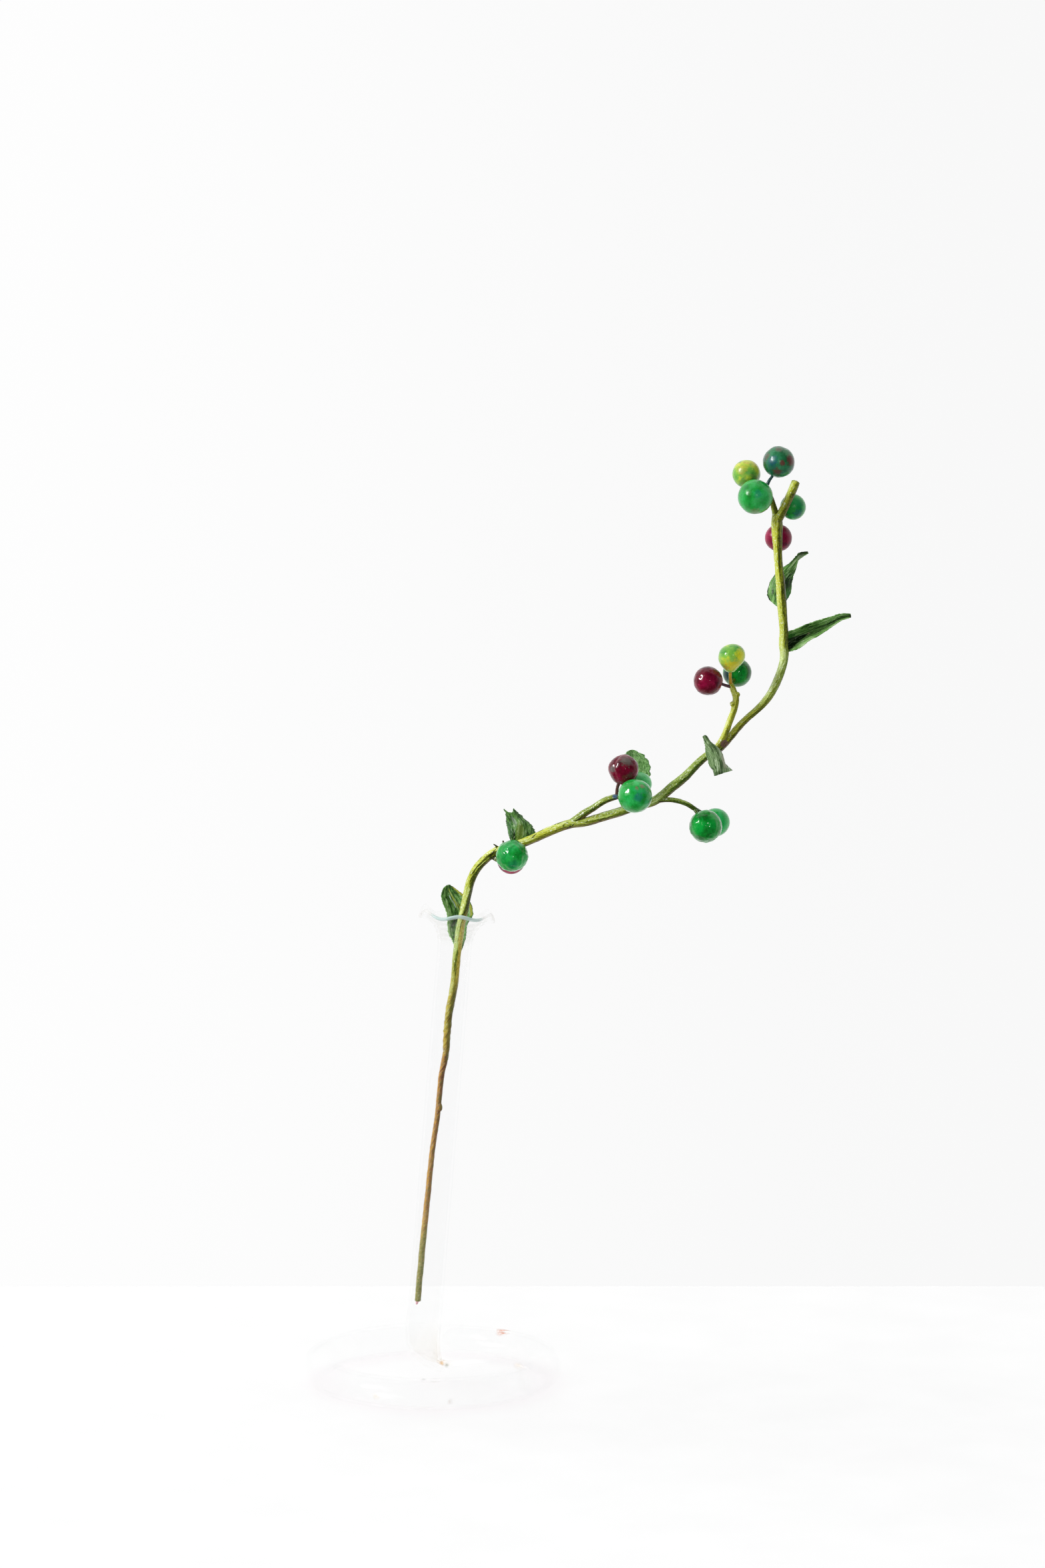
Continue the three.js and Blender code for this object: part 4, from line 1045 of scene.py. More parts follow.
def berry_colour(tree, look, seed, at, fine, extra, spots):
    """Mottled paint with blotches of other colours, and spots at places of their own."""
    colour = ramp(tree, clouds(tree, at, 0.13, 4, 0.6, 0.25), look["ramp"])
    for mottle, share in ((fine, 0.2), (clouds(tree, at, 1.3, 4, 0.7), 0.3)):
        grey = ramp(tree, mottle, [(0.3, (0.3, 0.3, 0.3)), (0.7, (0.7, 0.7, 0.7))])
        colour = mix(tree, share, colour, grey, "OVERLAY")
    for k, (tone, scale, threshold) in enumerate(extra):
        moved = millimetres(tree, (seed * 5.0 + 31 * k, seed * 11.0, 17.0 * k))
        blotch = clouds(tree, moved, scale, 4, 0.6, 0.5)
        colour = mix(tree, span(tree, blotch, threshold - 0.02, threshold + 0.14, 0, 0.8), colour, tone)
    here, speck = millimetres(tree), clouds(tree, at, 0.8, 4, 0.7)
    for tone, centre, reach, share in spots:
        near = spot(tree, here, centre, 0.0, reach)
        colour = mix(tree, span(tree, total(tree, near, (speck, 1.6)), 0.15, 0.85, 0, share), colour, tone)
    stalk = span(tree, mark_value(tree, "stalk"), 0.3, 0.9)
    return mix(tree, stalk, colour, look["stalk"])


def berry_material(name, look, seed, extra, spots, gloss, coat):
    """Paint under lacquer. extra: (colour, noise scale, threshold), spots: (colour, place, reach, share)."""
    material, tree, output = new_material(name + "_paint")
    at = millimetres(tree, (seed * 13.0, seed * 7.0, seed * 3.0))
    fine = clouds(tree, at, 0.4, 3, 0.6, 0.6)
    colour = berry_colour(tree, look, seed, at, fine, extra, spots)
    brushed = clouds(tree, at, 0.3, 3, 0.6, 0.8)
    normal = bump(tree, brushed, 0.2, 0.5)
    roughness = span(tree, fine, 0.3, 0.7, 0.22, 0.42)
    finish_material(tree, output, colour, roughness, normal, Coat_Weight=coat, Coat_Roughness=gloss,
                    Coat_IOR=1.42, Specular_IOR_Level=0.08)
    return material


# How much longer than a round bead the most pear-shaped one is, in radii.
PEAR = 0.12
BERRY_SIDES, BERRY_RINGS = 80, 52
STALK_RADIUS, STALK_END_RADIUS, STALK_SUNK = 0.72, 0.85, 0.9


def bead_size(d, polar, seed, stretch, lumps, fine, crease):
    """How far the skin stands from the middle of the bead in direction d, in radii."""
    size = 1 + lumps * grain(d[0] * 1.3 + seed, d[1] * 1.3, d[2] * 1.3)
    for finer, share in ((4, 1), (8, 0.5)):
        size += lumps * fine * share * grain(d[0] * finer + seed, d[1] * finer, d[2] * finer)
    # A round bead has a dimple at its stalk.
    size -= 0.05 * math.exp(-((polar / 0.2) ** 2)) * (stretch < 1.05)
    if crease:
        side, across, depth = crease
        away = float(np.dot(d, side))
        along = float(np.dot(d, across))
        size -= depth * math.exp(-((along / 0.09) ** 2)) * float(ease(away, 0.3, 0.85))
    return size


def bead_rings(centre, axis, radius, stretch, seed, lumps, fine, crease):
    """Rings of a bead from its stalk to its far end. A stretched one is thin towards the stalk."""
    across = np.cross([0, 0, 1], axis)
    if np.linalg.norm(across) < 0.1:
        across = np.array([1.0, 0, 0])
    across = unit(across)
    other = np.cross(axis, across)
    pear = (stretch - 1) / PEAR
    rings = []
    for i in range(1, BERRY_RINGS):
        polar = math.pi * i / BERRY_RINGS
        behind = stretch if polar < math.pi / 2 else 1.0
        waist = math.sin(polar) * (1 - 0.22 * pear * math.exp(-((polar - 0.7) / 0.5) ** 2))
        waist *= 1 + 0.05 * pear * math.exp(-((polar - 2.3) / 0.4) ** 2)
        ring = []
        for angle in around(BERRY_SIDES):
            out = across * math.cos(angle) + other * math.sin(angle)
            d = -axis * math.cos(polar) * behind + out * waist
            ring.append(centre + d * radius * bead_size(d, polar, seed, stretch, lumps, fine, crease))
        rings.append(np.array(ring))
    return rings


def berry_shape(middle, radius, stretch, stalk, seed, lumps, fine, crease=None):
    """A bead on a stalk. crease: the side of a fold in its skin, the direction across it, and its depth."""
    centre = np.array(middle, float)
    axis = unit(centre - np.array(stalk[-1], float))
    points, faces = closed(bead_rings(centre, axis, radius, stretch, seed, lumps, fine, crease))
    foot = centre - axis * radius * stretch
    near_stalk = np.exp(-(np.linalg.norm(np.array(points) - foot, axis=1) / 0.9) ** 2)
    shape = Shape()
    shape.add(points, faces, stalk=near_stalk)
    sunk = centre - axis * (radius * stretch - STALK_SUNK)
    radii = [STALK_END_RADIUS] + [STALK_RADIUS] * (len(stalk) - 1)
    route = [(*p, r) for p, r in zip(stalk, radii)] + [(*sunk, STALK_END_RADIUS)]

    def relief(theta, run):
        return np.array([0.06 * grain(math.cos(a) + seed, math.sin(a), run) for a in theta])

    bar(shape, route, 18, 0.35, relief, rounding=0.4, stalk=1.0)
    return shape


# How lumpy a berry is, in shares of its radius, and how much of that is small lumps.
BERRY_LUMPS = {
    "crown_dark": (0.04, 0.3), "crown_front": (0.025, 0.4), "fork_red": (0.035, 0.5),
    "elbow_red": (0.055, 0.4), "elbow_front": (0.03, 0.5), "hanging_front": (0.03, 1.0),
    "bend_front": (0.045, 1.1),
}


def berry_looks():
    """The paint of each berry: look, extra blotches, and spots at places on it."""
    blue, wine, mauve = (0.006, 0.035, 0.17), (0.13, 0.006, 0.018), (0.24, 0.11, 0.11)
    return {
        "crown_dark": (DARK, [((0.012, 0.085, 0.07), 0.13, 0.54)], [
            (blue, (150.4, -0.2, 415.6), 4.6, 0.4), (wine, (155.0, -1, 414.6), 2.4, 0.75),
            (wine, (159.0, 1.5, 415.6), 4.6, 0.75), (wine, (152.6, -0.6, 410.0), 3.8, 0.7),
            ((0.16, 0.06, 0.07), (147.9, 2.2, 417.4), 3.0, 0.5),
            ((0.16, 0.05, 0.07), (153.6, 2.6, 420.3), 3.0, 0.5),
            ((0.06, 0.26, 0.10), (157.2, 0.6, 419.4), 3.6, 0.5),
        ]),
        "crown_lime": (LIME, [((0.06, 0.26, 0.05), 0.16, 0.54), ((0.42, 0.27, 0.06), 0.3, 0.62)], [
            ((0.40, 0.36, 0.05), (137.2, 3.4, 411.4), 4.5, 0.6),
            ((0.08, 0.24, 0.04), (143.0, 3.8, 406.0), 4.0, 0.7),
        ]),
        "crown_front": (GREEN, [((0.03, 0.33, 0.08), 0.14, 0.5), ((0.005, 0.16, 0.04), 0.2, 0.56)], [
            ((0.01, 0.16, 0.13), (143.9, -8.6, 401.6), 3.6, 0.5),
            ((0.16, 0.10, 0.06), (143, -5.4, 393.6), 4.4, 0.5),
        ]),
        "crown_right": (GREEN, [((0.004, 0.19, 0.06), 0.16, 0.54)], [
            ((0.006, 0.06, 0.13), (162.6, 8.8, 391.4), 4.0, 0.5),
            ((0.03, 0.30, 0.08), (160.4, 8.4, 396.0), 4.0, 0.4),
        ]),
        "crown_red": (ROSE, [((0.05, 0.004, 0.02), 0.2, 0.54)], []),
        "fork_lime": (LIME, [((0.20, 0.42, 0.08), 0.12, 0.45)], [
            ((0.62, 0.62, 0.02), (136.6, -14.2, 331.0), 5.0, 0.95),
            ((0.52, 0.46, 0.012), (132.6, -15.4, 325.4), 6.2, 0.95),
            ((0.50, 0.46, 0.02), (134.8, -14.4, 327.0), 4.4, 0.8),
            ((0.42, 0.17, 0.03), (129.4, -13.6, 325.0), 3.4, 0.6),
            ((0.40, 0.20, 0.03), (133.0, -14.2, 322.8), 2.8, 0.6),
        ]),
        "fork_red": (RED, [((0.035, 0.0, 0.006), 0.14, 0.5), ((0.26, 0.01, 0.05), 0.3, 0.62)], []),
        "fork_green": (DEEP, [((0.002, 0.05, 0.012), 0.16, 0.52)], [
            ((0.001, 0.012, 0.03), (130.6, -3, 320.4), 5.4, 0.9),
        ]),
        "elbow_red": (RED, [((0.03, 0.012, 0.014), 0.14, 0.56)], [
            ((0.10, 0.11, 0.09), (86.2, -22.8, 285.4), 4.6, 0.7),
            ((0.11, 0.12, 0.11), (80.6, -22.4, 281.8), 3.0, 0.7),
            ((0.07, 0.06, 0.05), (87.8, -24.2, 279.4), 2.6, 0.5),
            ((0.07, 0.05, 0.045), (80.2, -21.0, 277.0), 3.2, 0.55),
        ]),
        "elbow_back": (PALE, [], []),
        "elbow_front": (GREEN, [((0.02, 0.33, 0.10), 0.13, 0.5)], [
            ((0.008, 0.12, 0.14), (91.4, -33.1, 270.8), 3.6, 0.6), (mauve, (93.2, -30.6, 275.6), 2.2, 0.7),
            (mauve, (90.6, -31.4, 274.6), 1.6, 0.6), ((0.10, 0.15, 0.09), (96.4, -28.8, 268.0), 3.0, 0.45),
        ]),
        "hanging_front": (DEEP, [((0.001, 0.30, 0.035), 0.13, 0.46)], []),
        "hanging_back": (MID, [((0.03, 0.42, 0.12), 0.16, 0.5)], []),
        "bend_front": (GREEN, [((0.002, 0.20, 0.03), 0.13, 0.5)], [
            ((0.004, 0.12, 0.08), (36.6, -25.2, 239.4), 4.0, 0.5),
        ]),
        "bend_red": (PINK, [((0.10, 0.0, 0.02), 0.2, 0.58)], []),
    }

# The fold in the skin of one berry: its side, the direction across it, and its depth in radii.
CREASES = {
    "elbow_red": (np.array(Vector((-0.62, -0.72, 0.3)).normalized()),
                  np.array(Vector((0.75, -0.62, 0.1)).normalized()), 0.055),
}


def make_berries():
    looks = berry_looks()
    for seed, (name, (middle, radius, stretch, stalk)) in enumerate(BERRIES.items()):
        look, extra, spots = looks[name]
        look = dict(look, stalk=STALKS.get(name, look["stalk"]))
        # Some are lumpy, so that the window's light breaks up on them.
        lumps, fine = BERRY_LUMPS.get(name, (0.02, 0.3))
        shape = berry_shape(middle, radius, stretch, stalk, seed * 3.7 + 1.3, lumps, fine, CREASES.get(name))
        gloss = CROWN_GLOSS if name.startswith("crown") else GLOSS
        paint = berry_material(name, look, seed + 1, extra, spots, gloss, COATS.get(name, 1.0))
        settle(shape.build("berry_" + name + "_lacquered", paint), look["slot"], "berry_" + name)


make_berries()


# Leaves: each row is [one edge, middle, other edge], from the base to the tip.

LEAVES = {
    "leaf_behind": [
        [[152.5, 5.6, 351.2], [153.6, 4.4, 350.4], [154.8, 5.6, 351.4]],
        [[149.2, 8, 354], [153.8, 5.6, 354.6], [157.6, 8.4, 352.8]],
        [[149.3, 9.5, 357.8], [154.2, 6.6, 359], [159.2, 10.4, 355.8]],
        [[150.8, 10, 361.8], [155.5, 7.6, 363], [160, 11, 360.6]],
        [[154.6, 10.5, 366], [157.8, 8.6, 365.5], [160.8, 11, 363.7]],
        [[158.7, 10.5, 368.8], [160.2, 9.6, 368], [161.8, 11, 366.9]],
        [[161, 10.5, 371.3], [161.9, 10, 370.5], [162.7, 10.5, 370.2]],
        [[163.4, 10.5, 373.8], [164.6, 10.2, 373.1], [165.2, 10.5, 372.2]],
        [[166.9, 10.6, 374.2], [167.1, 10.5, 373.8], [167.2, 10.6, 373.3]],
    ],
    "leaf_side": [
        [[156.9, 1.6, 339.2], [156.6, 1.2, 334.6], [156.4, 0.4, 330]],
        [[160.2, 1, 340.5], [160, 4.5, 336], [160, -1, 331.4]],
        [[164, 1.5, 341.9], [164.2, 5.5, 337.7], [163.2, -0.5, 332.4]],
        [[168, 2.5, 343.4], [168.4, 6, 339.3], [167.7, 1, 335.7]],
        [[172.4, 4, 344.7], [172.8, 6.6, 341], [172.4, 3, 338]],
        [[176.9, 5.5, 345.7], [177.5, 7.4, 343], [177.5, 5, 341.2]],
        [[181.1, 7, 346.8], [181.4, 8.4, 344.9], [182, 7, 343.9]],
        [[186, 9, 346.6], [186.2, 9.4, 345.9], [186.3, 9, 345]],
    ],
    "leaf_wrap": [
        [[120, -13.6, 295], [121, -14, 295.6], [121.8, -13.6, 295.2]],
        [[120.9, -14, 292.2], [122.8, -15, 292.8], [123.6, -14, 292.4]],
        [[121.2, -13.8, 289.2], [125.4, -14.9, 290.1], [126.7, -13.4, 289.7]],
        [[121.8, -13.4, 286.1], [126.6, -15.1, 287.1], [128.9, -12.8, 286.8]],
        [[122.8, -13.2, 282.5], [127.6, -15.1, 283.5], [129.8, -11.6, 283]],
        [[124.5, -13.2, 280.1], [127.9, -14.9, 280.7], [131.5, -10.7, 281]],
        [[125.5, -13.4, 277.3], [128, -14.2, 278.3], [133.4, -10.2, 279.3]],
    ],
    "leaf_round": [
        [[90, -13, 264.8], [90.8, -13, 264.4], [91.6, -13, 264.8]],
        [[87, -7.2, 268.3], [90.9, -6.4, 268.2], [94.4, -6.2, 268.5]],
        [[84.9, -4.2, 272.9], [90.6, -3.8, 272.9], [96.5, -3.6, 273.5]],
        [[83.7, -3.5, 278], [90.6, -2, 277.4], [97.2, -3, 278.3]],
        [[83.8, -4, 282.2], [90.3, -2, 281.6], [96.3, -3.5, 282.5]],
        [[86.2, -4, 286], [89.6, -2.8, 285.1], [93.5, -4, 285.7]],
        [[88.2, -4, 287.3], [89.2, -3.6, 287.6], [90.4, -4, 287.2]],
    ],
    "leaf_folded": [
        [[35.6, -7.6, 246.8], [37.8, -8.2, 246.6], [40.4, -7.8, 247.4]],
        [[34.6, -6, 250.4], [38.4, -9.6, 250.8], [46, -4.6, 250.4]],
        [[33.9, -5, 252.9], [38.6, -9.5, 253.8], [45.1, -4, 253.2]],
        [[33.4, -5.4, 255.9], [37.9, -9, 256.4], [42.4, -4.5, 256]],
        [[33.4, -6.4, 258.4], [36.4, -8.5, 258.6], [39.4, -5, 259.1]],
        [[32.3, -8.4, 262], [35.4, -8, 260.1], [36.6, -6, 261.7]],
    ],
    "leaf_mouth": [
        [[10.5, -2.2, 198.7], [12, -2.4, 197.6], [13.5, -2.2, 197]],
        [[9.2, 0.5, 201.6], [12, 1, 200.8], [14.8, 0.4, 200.4]],
        [[7.6, 2.2, 204.7], [11.9, 3.6, 204.2], [15.6, 1.4, 203.8]],
        [[7.2, 3, 208.4], [11.9, 4.8, 207.9], [16, 1.6, 208]],
        [[7, 3.5, 212.6], [12.6, 5.5, 212.5], [18.6, 1.9, 212.9]],
        [[5.5, 4, 216.5], [11.7, 5.8, 216.3], [17.9, 2.4, 217]],
        [[4.4, 4, 220.9], [9.8, 5.4, 220.1], [15.6, 3, 220.3]],
        [[5.7, 4, 224.4], [8.2, 4.8, 223.4], [12.2, 3.7, 223]],
        [[7, 4.1, 225.4], [8, 4.5, 225.7], [8.9, 4.2, 225.1]],
    ],
}
# How each leaf's paper is worked, in millimetres: ridges from base to tip and how many of them, crumples,
# the unevenness of its cut edge, and scallops along it.
LEAF_WORK = {
    "leaf_behind": {"ridge": 0.13, "ridges": 13, "crumple": 0.22, "ragged": 0.2, "scallops": 0},
    "leaf_side": {"ridge": 0.15, "ridges": 11, "crumple": 0.2, "ragged": 0.14, "scallops": 0},
    "leaf_wrap": {"ridge": 0.13, "ridges": 8, "crumple": 0.2, "ragged": 0.15, "scallops": 0},
    "leaf_round": {"ridge": 0.07, "ridges": 12, "crumple": 0.4, "ragged": 0.2, "scallops": 0.45},
    "leaf_folded": {"ridge": 0.12, "ridges": 11, "crumple": 0.36, "ragged": 0.45, "scallops": 0},
    "leaf_mouth": {"ridge": 0.12, "ridges": 8, "crumple": 0.32, "ragged": 0.35, "scallops": 0},
}
LEAF_ROWS, LEAF_COLUMNS, LEAF_THICK = 84, 48, 0.5
LEAF_RIM = 0.45
# Columns stand closer together towards the leaf's edges.
COLUMN_BEND = math.pi / 2 * 0.92
COLUMNS = np.sin(np.linspace(-1, 1, LEAF_COLUMNS + 1) * COLUMN_BEND) / math.sin(COLUMN_BEND)


def leaf_rails(rows):
    """The leaf's left edge, middle and right edge, as curves of LEAF_ROWS steps."""
    curves = [smooth(np.asarray(rows, float)[:, k], 40) for k in range(3)]
    steps = np.arange(len(curves[0]))
    at = np.linspace(0, steps[-1], LEAF_ROWS + 1)
    return [np.stack([np.interp(at, steps, column) for column in curve.T], axis=1) for curve in curves]


def cut_edges(run, u, wide, work, seed):
    """How far the left and right edge are cut, in shares of the leaf's half width."""
    ends = []
    for side in (-1, 1):
        jag = grain(run / 0.9, seed, side * 4.0) + 0.5 * grain(run / 0.35, seed + 9, side * 2.0)
        scallop = abs(math.sin(run * math.pi / 3.1 + side)) - 0.6
        inner = float(ease(u, 0, 0.06) * ease(1 - u, 0, 0.06))
        ends.append(1 + (work["ragged"] * jag + work["scallops"] * scallop * 1.4) * inner / wide)
    return ends


def leaf_sheet(left, mid, right, work, seed):
    """The leaf's bent sheet as rows of points, with ragged edges and ends."""
    run = distances(mid)
    t = COLUMNS
    sheet = np.zeros((LEAF_ROWS + 1, LEAF_COLUMNS + 1, 3))
    for i in range(LEAF_ROWS + 1):
        half, bow = (right[i] - left[i]) / 2, (left[i] + right[i]) / 2 - mid[i]
        ends = cut_edges(run[i], run[i] / run[-1], max(np.linalg.norm(half), 0.3), work, seed)
        # The sheet is stretched towards each edge, so that its middle stays in place.
        s = np.where(t < 0, t * (1 + (ends[0] - 1) * t * t), t * (1 + (ends[1] - 1) * t * t))
        sheet[i] = mid[i] + np.outer(s, half) + np.outer(s * s, bow)
    for i, direction, step in ((0, -1, mid[0] - mid[1]), (LEAF_ROWS, 1, mid[-1] - mid[-2])):
        for j, x in enumerate(t):
            reach = work["ragged"] * 0.8 * grain(x * 3.1 + seed, direction * 3.0, 2.2)
            sheet[i, j] += step / max(np.linalg.norm(step), 1e-6) * max(reach, -0.1)
    return sheet


def leaf_relief(sheet, left, right, u, work, seed):
    """How far ridges and crumples lift each point, and a mark of them for the paint."""
    lift, marks = np.zeros(sheet.shape[:2]), np.zeros(sheet.shape[:2])
    for i in range(LEAF_ROWS + 1):
        broad = max(np.linalg.norm(right[i] - left[i]), 0.5)
        taper = min(1.0, broad / 7.0)
        for j, x in enumerate(COLUMNS):
            px, py, pz = sheet[i, j]
            drift = 0.9 * grain(u[i] * 3 + seed, x * 0.8, 0.3)
            bent = (x + 0.12 * drift) * work["ridges"] * 0.42
            ridge = 0.55 - 2.3 * abs(grain(bent + seed, u[i] * 1.6, 1.1))
            ridge += 0.9 * grain(x * work["ridges"] * 1.1 + seed, u[i] * 2.6, 4.4)
            crumple = grain(px * 0.28, py * 0.28 + seed, pz * 0.28)
            crumple += 0.5 * grain(px * 0.8, py * 0.8 + seed, pz * 0.8)
            lift[i, j] = taper * (work["ridge"] * ridge + work["crumple"] * crumple)
            marks[i, j] = ridge + crumple * work["crumple"] * 2.5
    return lift, marks


def leaf_thickness(rows, columns):
    """Half the paper's thickness at each point. It thins towards the rim."""
    from_end, from_side = (np.minimum(np.arange(n), np.arange(n)[::-1]) / 3.0 for n in (rows, columns))
    inside = np.clip(np.minimum(from_end[:, None], from_side[None, :]), 0, 1)
    return LEAF_THICK / 2 * (LEAF_RIM + (1 - LEAF_RIM) * np.sqrt(inside))


def leaf_faces(rows, columns):
    """Faces of the front, then the back turned round, and of the rim between them."""
    size = rows * columns
    faces = []
    for i in range(rows - 1):
        for j in range(columns - 1):
            a, b = i * columns + j, i * columns + j + 1
            c, d = b + columns, a + columns
            faces.append((a, b, c, d))
            faces.append((size + a, size + d, size + c, size + b))
    border = list(range(columns - 1))
    border += [i * columns + columns - 1 for i in range(rows - 1)]
    border += [(rows - 1) * columns + j for j in range(columns - 1, 0, -1)]
    border += [i * columns for i in range(rows - 1, 0, -1)]
    for a, b in zip(border, border[1:] + border[:1]):
        faces.append((a, size + a, size + b, b))
    return faces


def leaf_shape(rows, work, seed):
    """A sheet of crepe paper. Its marks: vein in millimetres across and along, spread in shares, and fold."""
    left, mid, right = leaf_rails(rows)
    run = distances(mid)
    u = run / run[-1]
    sheet = leaf_sheet(left, mid, right, work, seed)
    out = np.cross(np.gradient(sheet, axis=1), np.gradient(sheet, axis=0))
    out /= np.maximum(np.linalg.norm(out, axis=2), 1e-9)[:, :, None]
    lift, folds = leaf_relief(sheet, left, right, u, work, seed)
    count, columns = lift.shape
    thick = leaf_thickness(count, columns)
    front = sheet + out * (lift + thick)[:, :, None]
    back = sheet + out * (lift - thick)[:, :, None]
    points = list(front.reshape(-1, 3)) + list(back.reshape(-1, 3))
    size = count * columns
    x = np.tile(COLUMNS, (count, 1)).ravel()
    width = np.repeat(np.linalg.norm(right - left, axis=1), columns) / 2
    across, along = x * np.maximum(width, 1.5), np.repeat(run, columns)
    vein = np.stack([across, along, np.full(size, seed * 10.0)], axis=1)
    spread = np.stack([x, np.repeat(u, columns), np.zeros(size)], axis=1)
    fold = np.tile(folds.ravel(), 2)
    shape = Shape()
    shape.add(points, leaf_faces(count, columns), vein=np.vstack([vein, vein]),
              spread=np.vstack([spread, spread]), fold=fold)
    return shape


def oval_on_leaf(tree, centre, reach, rough):
    """1 in an oval given in shares of the leaf's width and length, and 0 outside it, with a rough edge."""
    scale = (1 / reach[0], 1 / reach[1], 1)
    shift = (-centre[0] / reach[0], -centre[1] / reach[1], 0)
    values = {0: mark_vector(tree, "spread", scale, shift)}
    away = node(tree, "VectorMath", values, operation="LENGTH").outputs["Value"]
    return span(tree, total(tree, away, (rough, 1.3)), 0.7, 1.1, 1.0, 0.0)


PAINTED_RIDGE_SHADING = 0.14
LEAF_GLINT = (0.46, 0.60, 0.38)


def leaf_measures(tree, stretch):
    """Places across (x) and along (u) the leaf, and noises that run along its veins."""

    def strokes(scale, shift, *look):
        return clouds(tree, mark_vector(tree, "vein", scale, shift), *look)

    spread = axes(tree, mark_vector(tree, "spread"))
    return SimpleNamespace(
        x=spread["X"],
        u=spread["Y"],
        streak=strokes((1.1, stretch, 1), (0, 0, 0), 1.0, 3, 0.6, 0.08),
        fine=strokes((2.6, stretch * 3, 1), (3, 0, 0), 1.2, 4, 0.65),
        creases=strokes((0.95, stretch, 1), (8, 1, 0), 1.0, 2, 0.5, 0.08),
        glint=strokes((1.5, 0.35, 1), (2, 5, 7), 1.1, 3, 0.6, 0.5),
        broad=clouds(tree, millimetres(tree), 0.16, 3, 0.55, 0.3),
    )


def leaf_level(tree, look, leaf):
    """How light the paint is: streaks and lines along the veins, and the look's tilts and shades."""
    lines = look.get("lines", 0.26)
    # Painted light and shade: the paper's ridges are painted lighter and its hollows darker.
    creased = times(tree, mark_value(tree, "fold"), PAINTED_RIDGE_SHADING)
    dark_lines = times(tree, thin_lines(tree, leaf.creases, 0.5, 0.035), -lines)
    light_lines = times(tree, thin_lines(tree, leaf.streak, 0.56, 0.03), lines * 0.7)
    level = total(tree, 0.5, (leaf.streak, look.get("contrast", 0.8)), (leaf.broad, 0.5), (leaf.fine, 0.7),
                  creased, dark_lines, light_lines)
    for axis, low, high, change in look.get("tilts", []):
        level = math_node(tree, "ADD", level, span(tree, getattr(leaf, axis), low, high, 0.0, change))
    for change, centre, reach in look.get("shades", []):
        share = oval_on_leaf(tree, centre, reach, leaf.fine)
        level = math_node(tree, "ADD", level, times(tree, share, change))
    return level


def painted_fold_shade(tree, look, leaf, level, colour):
    """Painted shade of a fold at the base, which the sheet doesn't have: a dark wedge that narrows to a
    point.
    """
    tone, end, wide, middle, slope = look["fold"]
    off = math_node(tree, "ABSOLUTE", total(tree, leaf.x, -middle, times(tree, leaf.u, slope)))
    left = times(tree, math_node(tree, "SUBTRACT", end, leaf.u), wide)
    wedge = span(tree, total(tree, math_node(tree, "SUBTRACT", left, off), (leaf.fine, 0.3)), -0.05, 0.1)
    striped = span(tree, level, 0.55, 0.95, 1.0, 0.5)
    return mix(tree, times(tree, wedge, striped), colour, tone)


def leaf_material(name, look):
    """Streaks of paint along the paper's ridges. look gives their colours and the tints of places."""
    material, tree, output = new_material(name + "_paint")
    leaf = leaf_measures(tree, look.get("stretch", 0.06))
    level = leaf_level(tree, look, leaf)
    colour = ramp(tree, level, look["ramp"])
    for tone, centre, reach, share in look.get("patches", []):
        colour = mix(tree, times(tree, oval_on_leaf(tree, centre, reach, leaf.fine), share), colour, tone)
    # leaf_side gets painted shade of a fold: a dark wedge at its base.
    if "fold" in look:
        colour = painted_fold_shade(tree, look, leaf, level, colour)
    # Painted highlights: pale flecks along the veins, a few more on the paper's ridges.
    glint = total(tree, (leaf.glint, 1.0), (mark_value(tree, "fold"), 0.04))
    colour = mix(tree, span(tree, glint, 0.06, 0.13, 0, look.get("glints", 0.25)), colour, LEAF_GLINT)
    if "margin" in look:
        tone, inner = look["margin"]
        wavering = total(tree, math_node(tree, "ABSOLUTE", leaf.x), (leaf.streak, 0.3))
        colour = mix(tree, span(tree, wavering, inner, inner + 0.1, 0, 0.75), colour, tone)
    normal = bump(tree, total(tree, leaf.fine, (leaf.creases, 1.0)), 0.7, 0.4)
    roughness = span(tree, leaf.fine, 0.3, 0.7, 0.32, 0.55)
    finish_material(tree, output, colour, roughness, normal, Specular_IOR_Level=0.15, Coat_Weight=0.08,
                    Coat_Roughness=0.2)
    return material


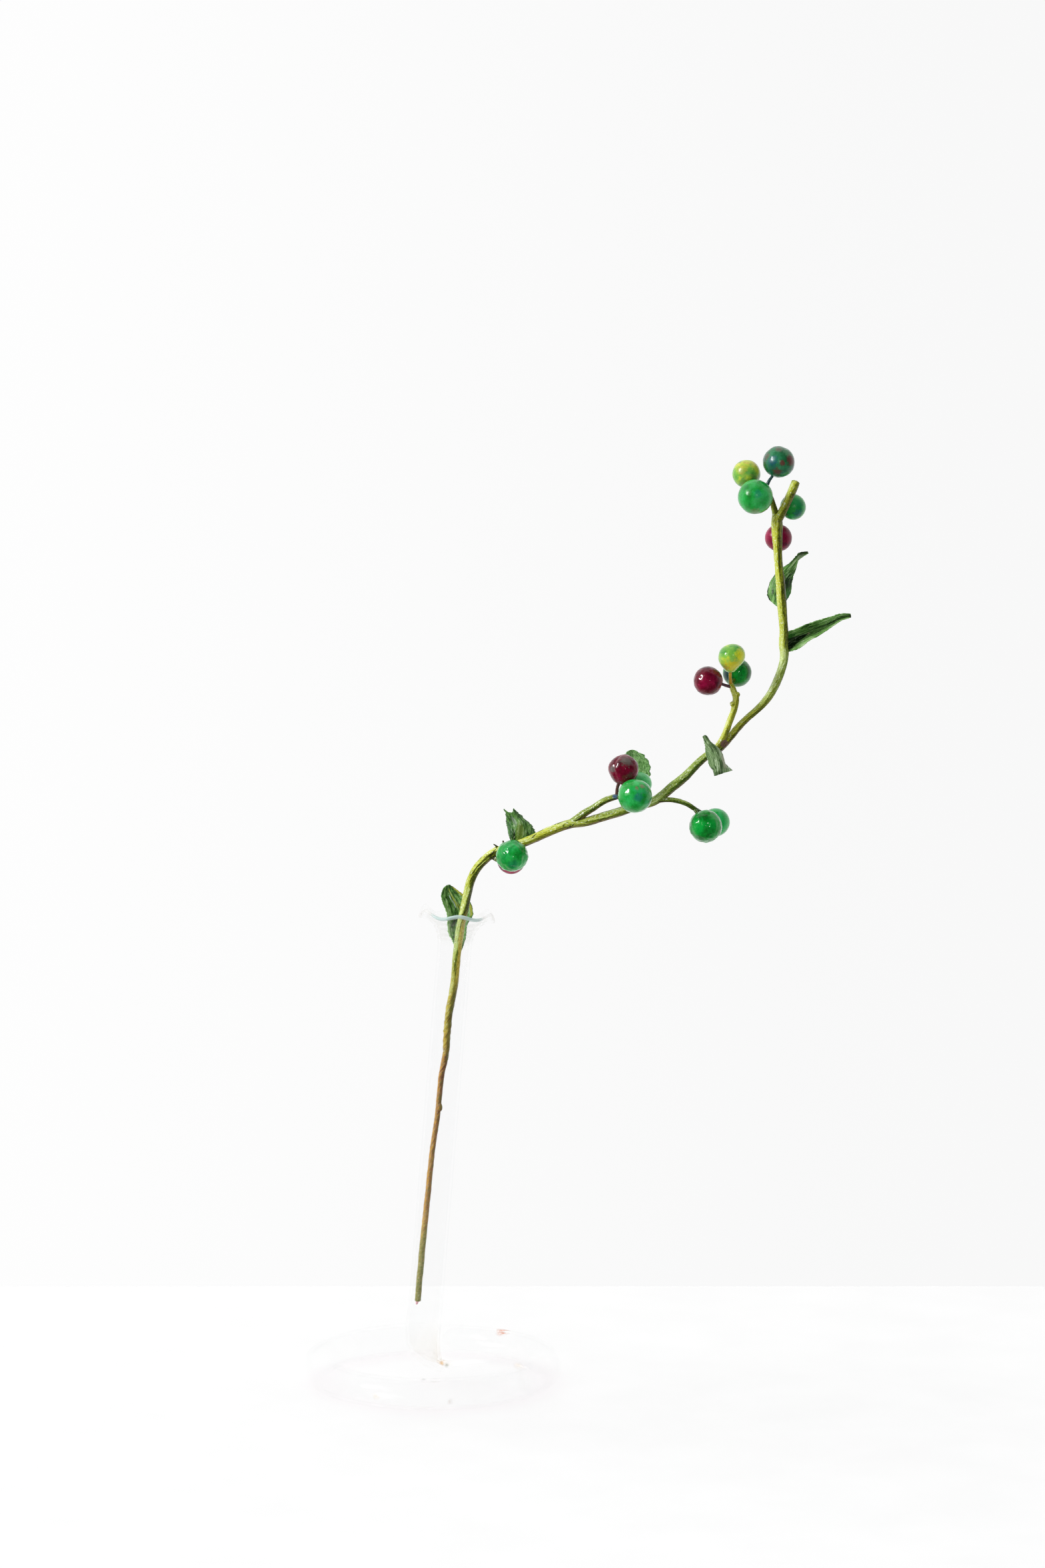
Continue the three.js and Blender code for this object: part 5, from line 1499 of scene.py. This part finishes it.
# What each leaf's paint looks like. tilts: (axis, from, to, change in lightness), shades: (change, centre,
# reach), patches: (colour, centre, reach, share), with places in shares of the leaf's width and length.
LEAF_LEVELS = (0.14, 0.32, 0.48, 0.64, 0.84)
GREEN_LEAF = stops(LEAF_LEVELS, (0.005, 0.022, 0.003), (0.03, 0.095, 0.014), (0.085, 0.225, 0.04),
                   (0.17, 0.36, 0.09), (0.40, 0.58, 0.28))
MOSS_LEAF = stops(LEAF_LEVELS, (0.012, 0.025, 0.008), (0.055, 0.105, 0.035), (0.13, 0.225, 0.085),
                  (0.22, 0.34, 0.15), (0.50, 0.62, 0.42))
LEAF_LOOKS = {
    "leaf_behind": {
        "ramp": GREEN_LEAF, "tilts": [("x", 0.1, 0.5, -0.06)], "lines": 0.26, "contrast": 0.55,
        "shades": [
            (-0.22, (0.6, 0.3), (0.6, 0.22)), (-0.3, (-1.0, 0.4), (0.14, 0.5)),
            (0.12, (0.2, 0.72), (0.9, 0.16)),
        ],
        "patches": [
            ((0.012, 0.16, 0.004), (0.85, 0.16), (0.35, 0.16), 0.85),
            ((0.30, 0.36, 0.24), (0.3, 0.86), (0.8, 0.08), 0.5),
            ((0.02, 0.03, 0.012), (-0.4, 0.97), (0.9, 0.1), 0.8),
        ],
    },
    "leaf_side": {
        "ramp": GREEN_LEAF, "tilts": [("x", 0.5, 0.9, 0.08)], "contrast": 0.42, "lines": 0.2,
        "fold": ((0.003, 0.014, 0.002), 0.42, 1.9, 0.42, 0.62),
        "shades": [(-0.1, (-0.1, 0.7), (0.3, 0.25))],
        "patches": [
            ((0.004, 0.10, 0.002), (-0.35, 0.08), (0.4, 0.12), 0.85),
            ((0.36, 0.27, 0.15), (0.18, 0.385), (0.12, 0.02), 0.8),
            ((0.02, 0.02, 0.008), (0.3, 1.0), (1.0, 0.04), 0.8),
        ],
    },
    "leaf_wrap": {
        "ramp": MOSS_LEAF, "tilts": [("x", 0.35, 0.5, 0.12)], "contrast": 0.55,
        "shades": [(-0.15, (-0.6, 0.04), (1.0, 0.14)), (-0.16, (-0.4, 1.0), (0.7, 0.1))],
        "patches": [
            ((0.36, 0.33, 0.24), (0.62, 0.72), (0.28, 0.2), 0.6),
            ((0.30, 0.33, 0.24), (0.75, 0.35), (0.3, 0.3), 0.3),
        ],
    },
    "leaf_round": {
        "ramp": [(0.2, (0.05, 0.15, 0.03)), (0.42, (0.17, 0.36, 0.11)), (0.6, (0.28, 0.50, 0.19)),
                 (0.8, (0.50, 0.70, 0.38))],
        "contrast": 0.5, "stretch": 0.5, "lines": 0.16, "margin": ((0.06, 0.18, 0.04), 0.94),
    },
    "leaf_folded": {
        "ramp": GREEN_LEAF, "contrast": 0.6, "lines": 0.16, "stretch": 0.26, "glints": 0.5,
        "tilts": [("x", -1.5, -1.4, -0.12), ("x", -0.3, 0.0, 0.12), ("x", 0.35, 0.6, -0.06)],
        "shades": [
            (-0.2, (-0.4, 0.3), (0.3, 0.22)), (0.1, (0.1, 0.3), (0.35, 0.3)),
            (-0.25, (0.0, 0.0), (1.2, 0.08)),
        ],
        "patches": [
            ((0.26, 0.34, 0.24), (-0.15, 0.72), (0.2, 0.18), 0.6),
            ((0.01, 0.09, 0.02), (-0.65, 0.45), (0.3, 0.3), 0.5),
            ((0.22, 0.28, 0.05), (0.15, 0.35), (0.3, 0.32), 0.55),
        ],
    },
    "leaf_mouth": {
        "ramp": GREEN_LEAF, "lines": 0.16, "contrast": 0.6, "stretch": 0.14, "glints": 0.4,
        "tilts": [("x", -1.5, -1.4, -0.1), ("x", -0.58, -0.68, 0.22), ("u", 0.45, 0.4, 0.05)],
        "shades": [(-0.12, (-0.45, 0.62), (0.2, 0.3)), (0.1, (0.35, 0.8), (0.2, 0.2))],
        "patches": [
            ((0.40, 0.44, 0.07), (-0.06, 0.8), (0.075, 0.2), 0.75),
            ((0.46, 0.46, 0.06), (0.93, 0.86), (0.13, 0.16), 0.75),
            ((0.40, 0.42, 0.06), (0.9, 0.62), (0.1, 0.12), 0.7),
            # These two pale patches are a painted highlight.
            ((0.50, 0.62, 0.58), (-0.28, 0.8), (0.05, 0.05), 0.8),
            ((0.42, 0.52, 0.48), (-0.2, 0.7), (0.05, 0.06), 0.6),
            ((0.40, 0.40, 0.06), (0.1, 0.6), (0.05, 0.14), 0.6),
            ((0.02, 0.015, 0.008), (-0.4, 0.02), (0.7, 0.1), 0.8),
        ],
    },
}


def make_leaves():
    for seed, (name, rails) in enumerate(LEAVES.items()):
        shape = leaf_shape(rails, LEAF_WORK[name], seed * 2.3 + 0.7)
        piece = shape.build(name + "_paper", leaf_material(name, LEAF_LOOKS[name]))
        settle(piece, "pale_crepe_leaf" if name == "leaf_round" else "crepe_leaf", name)


make_leaves()
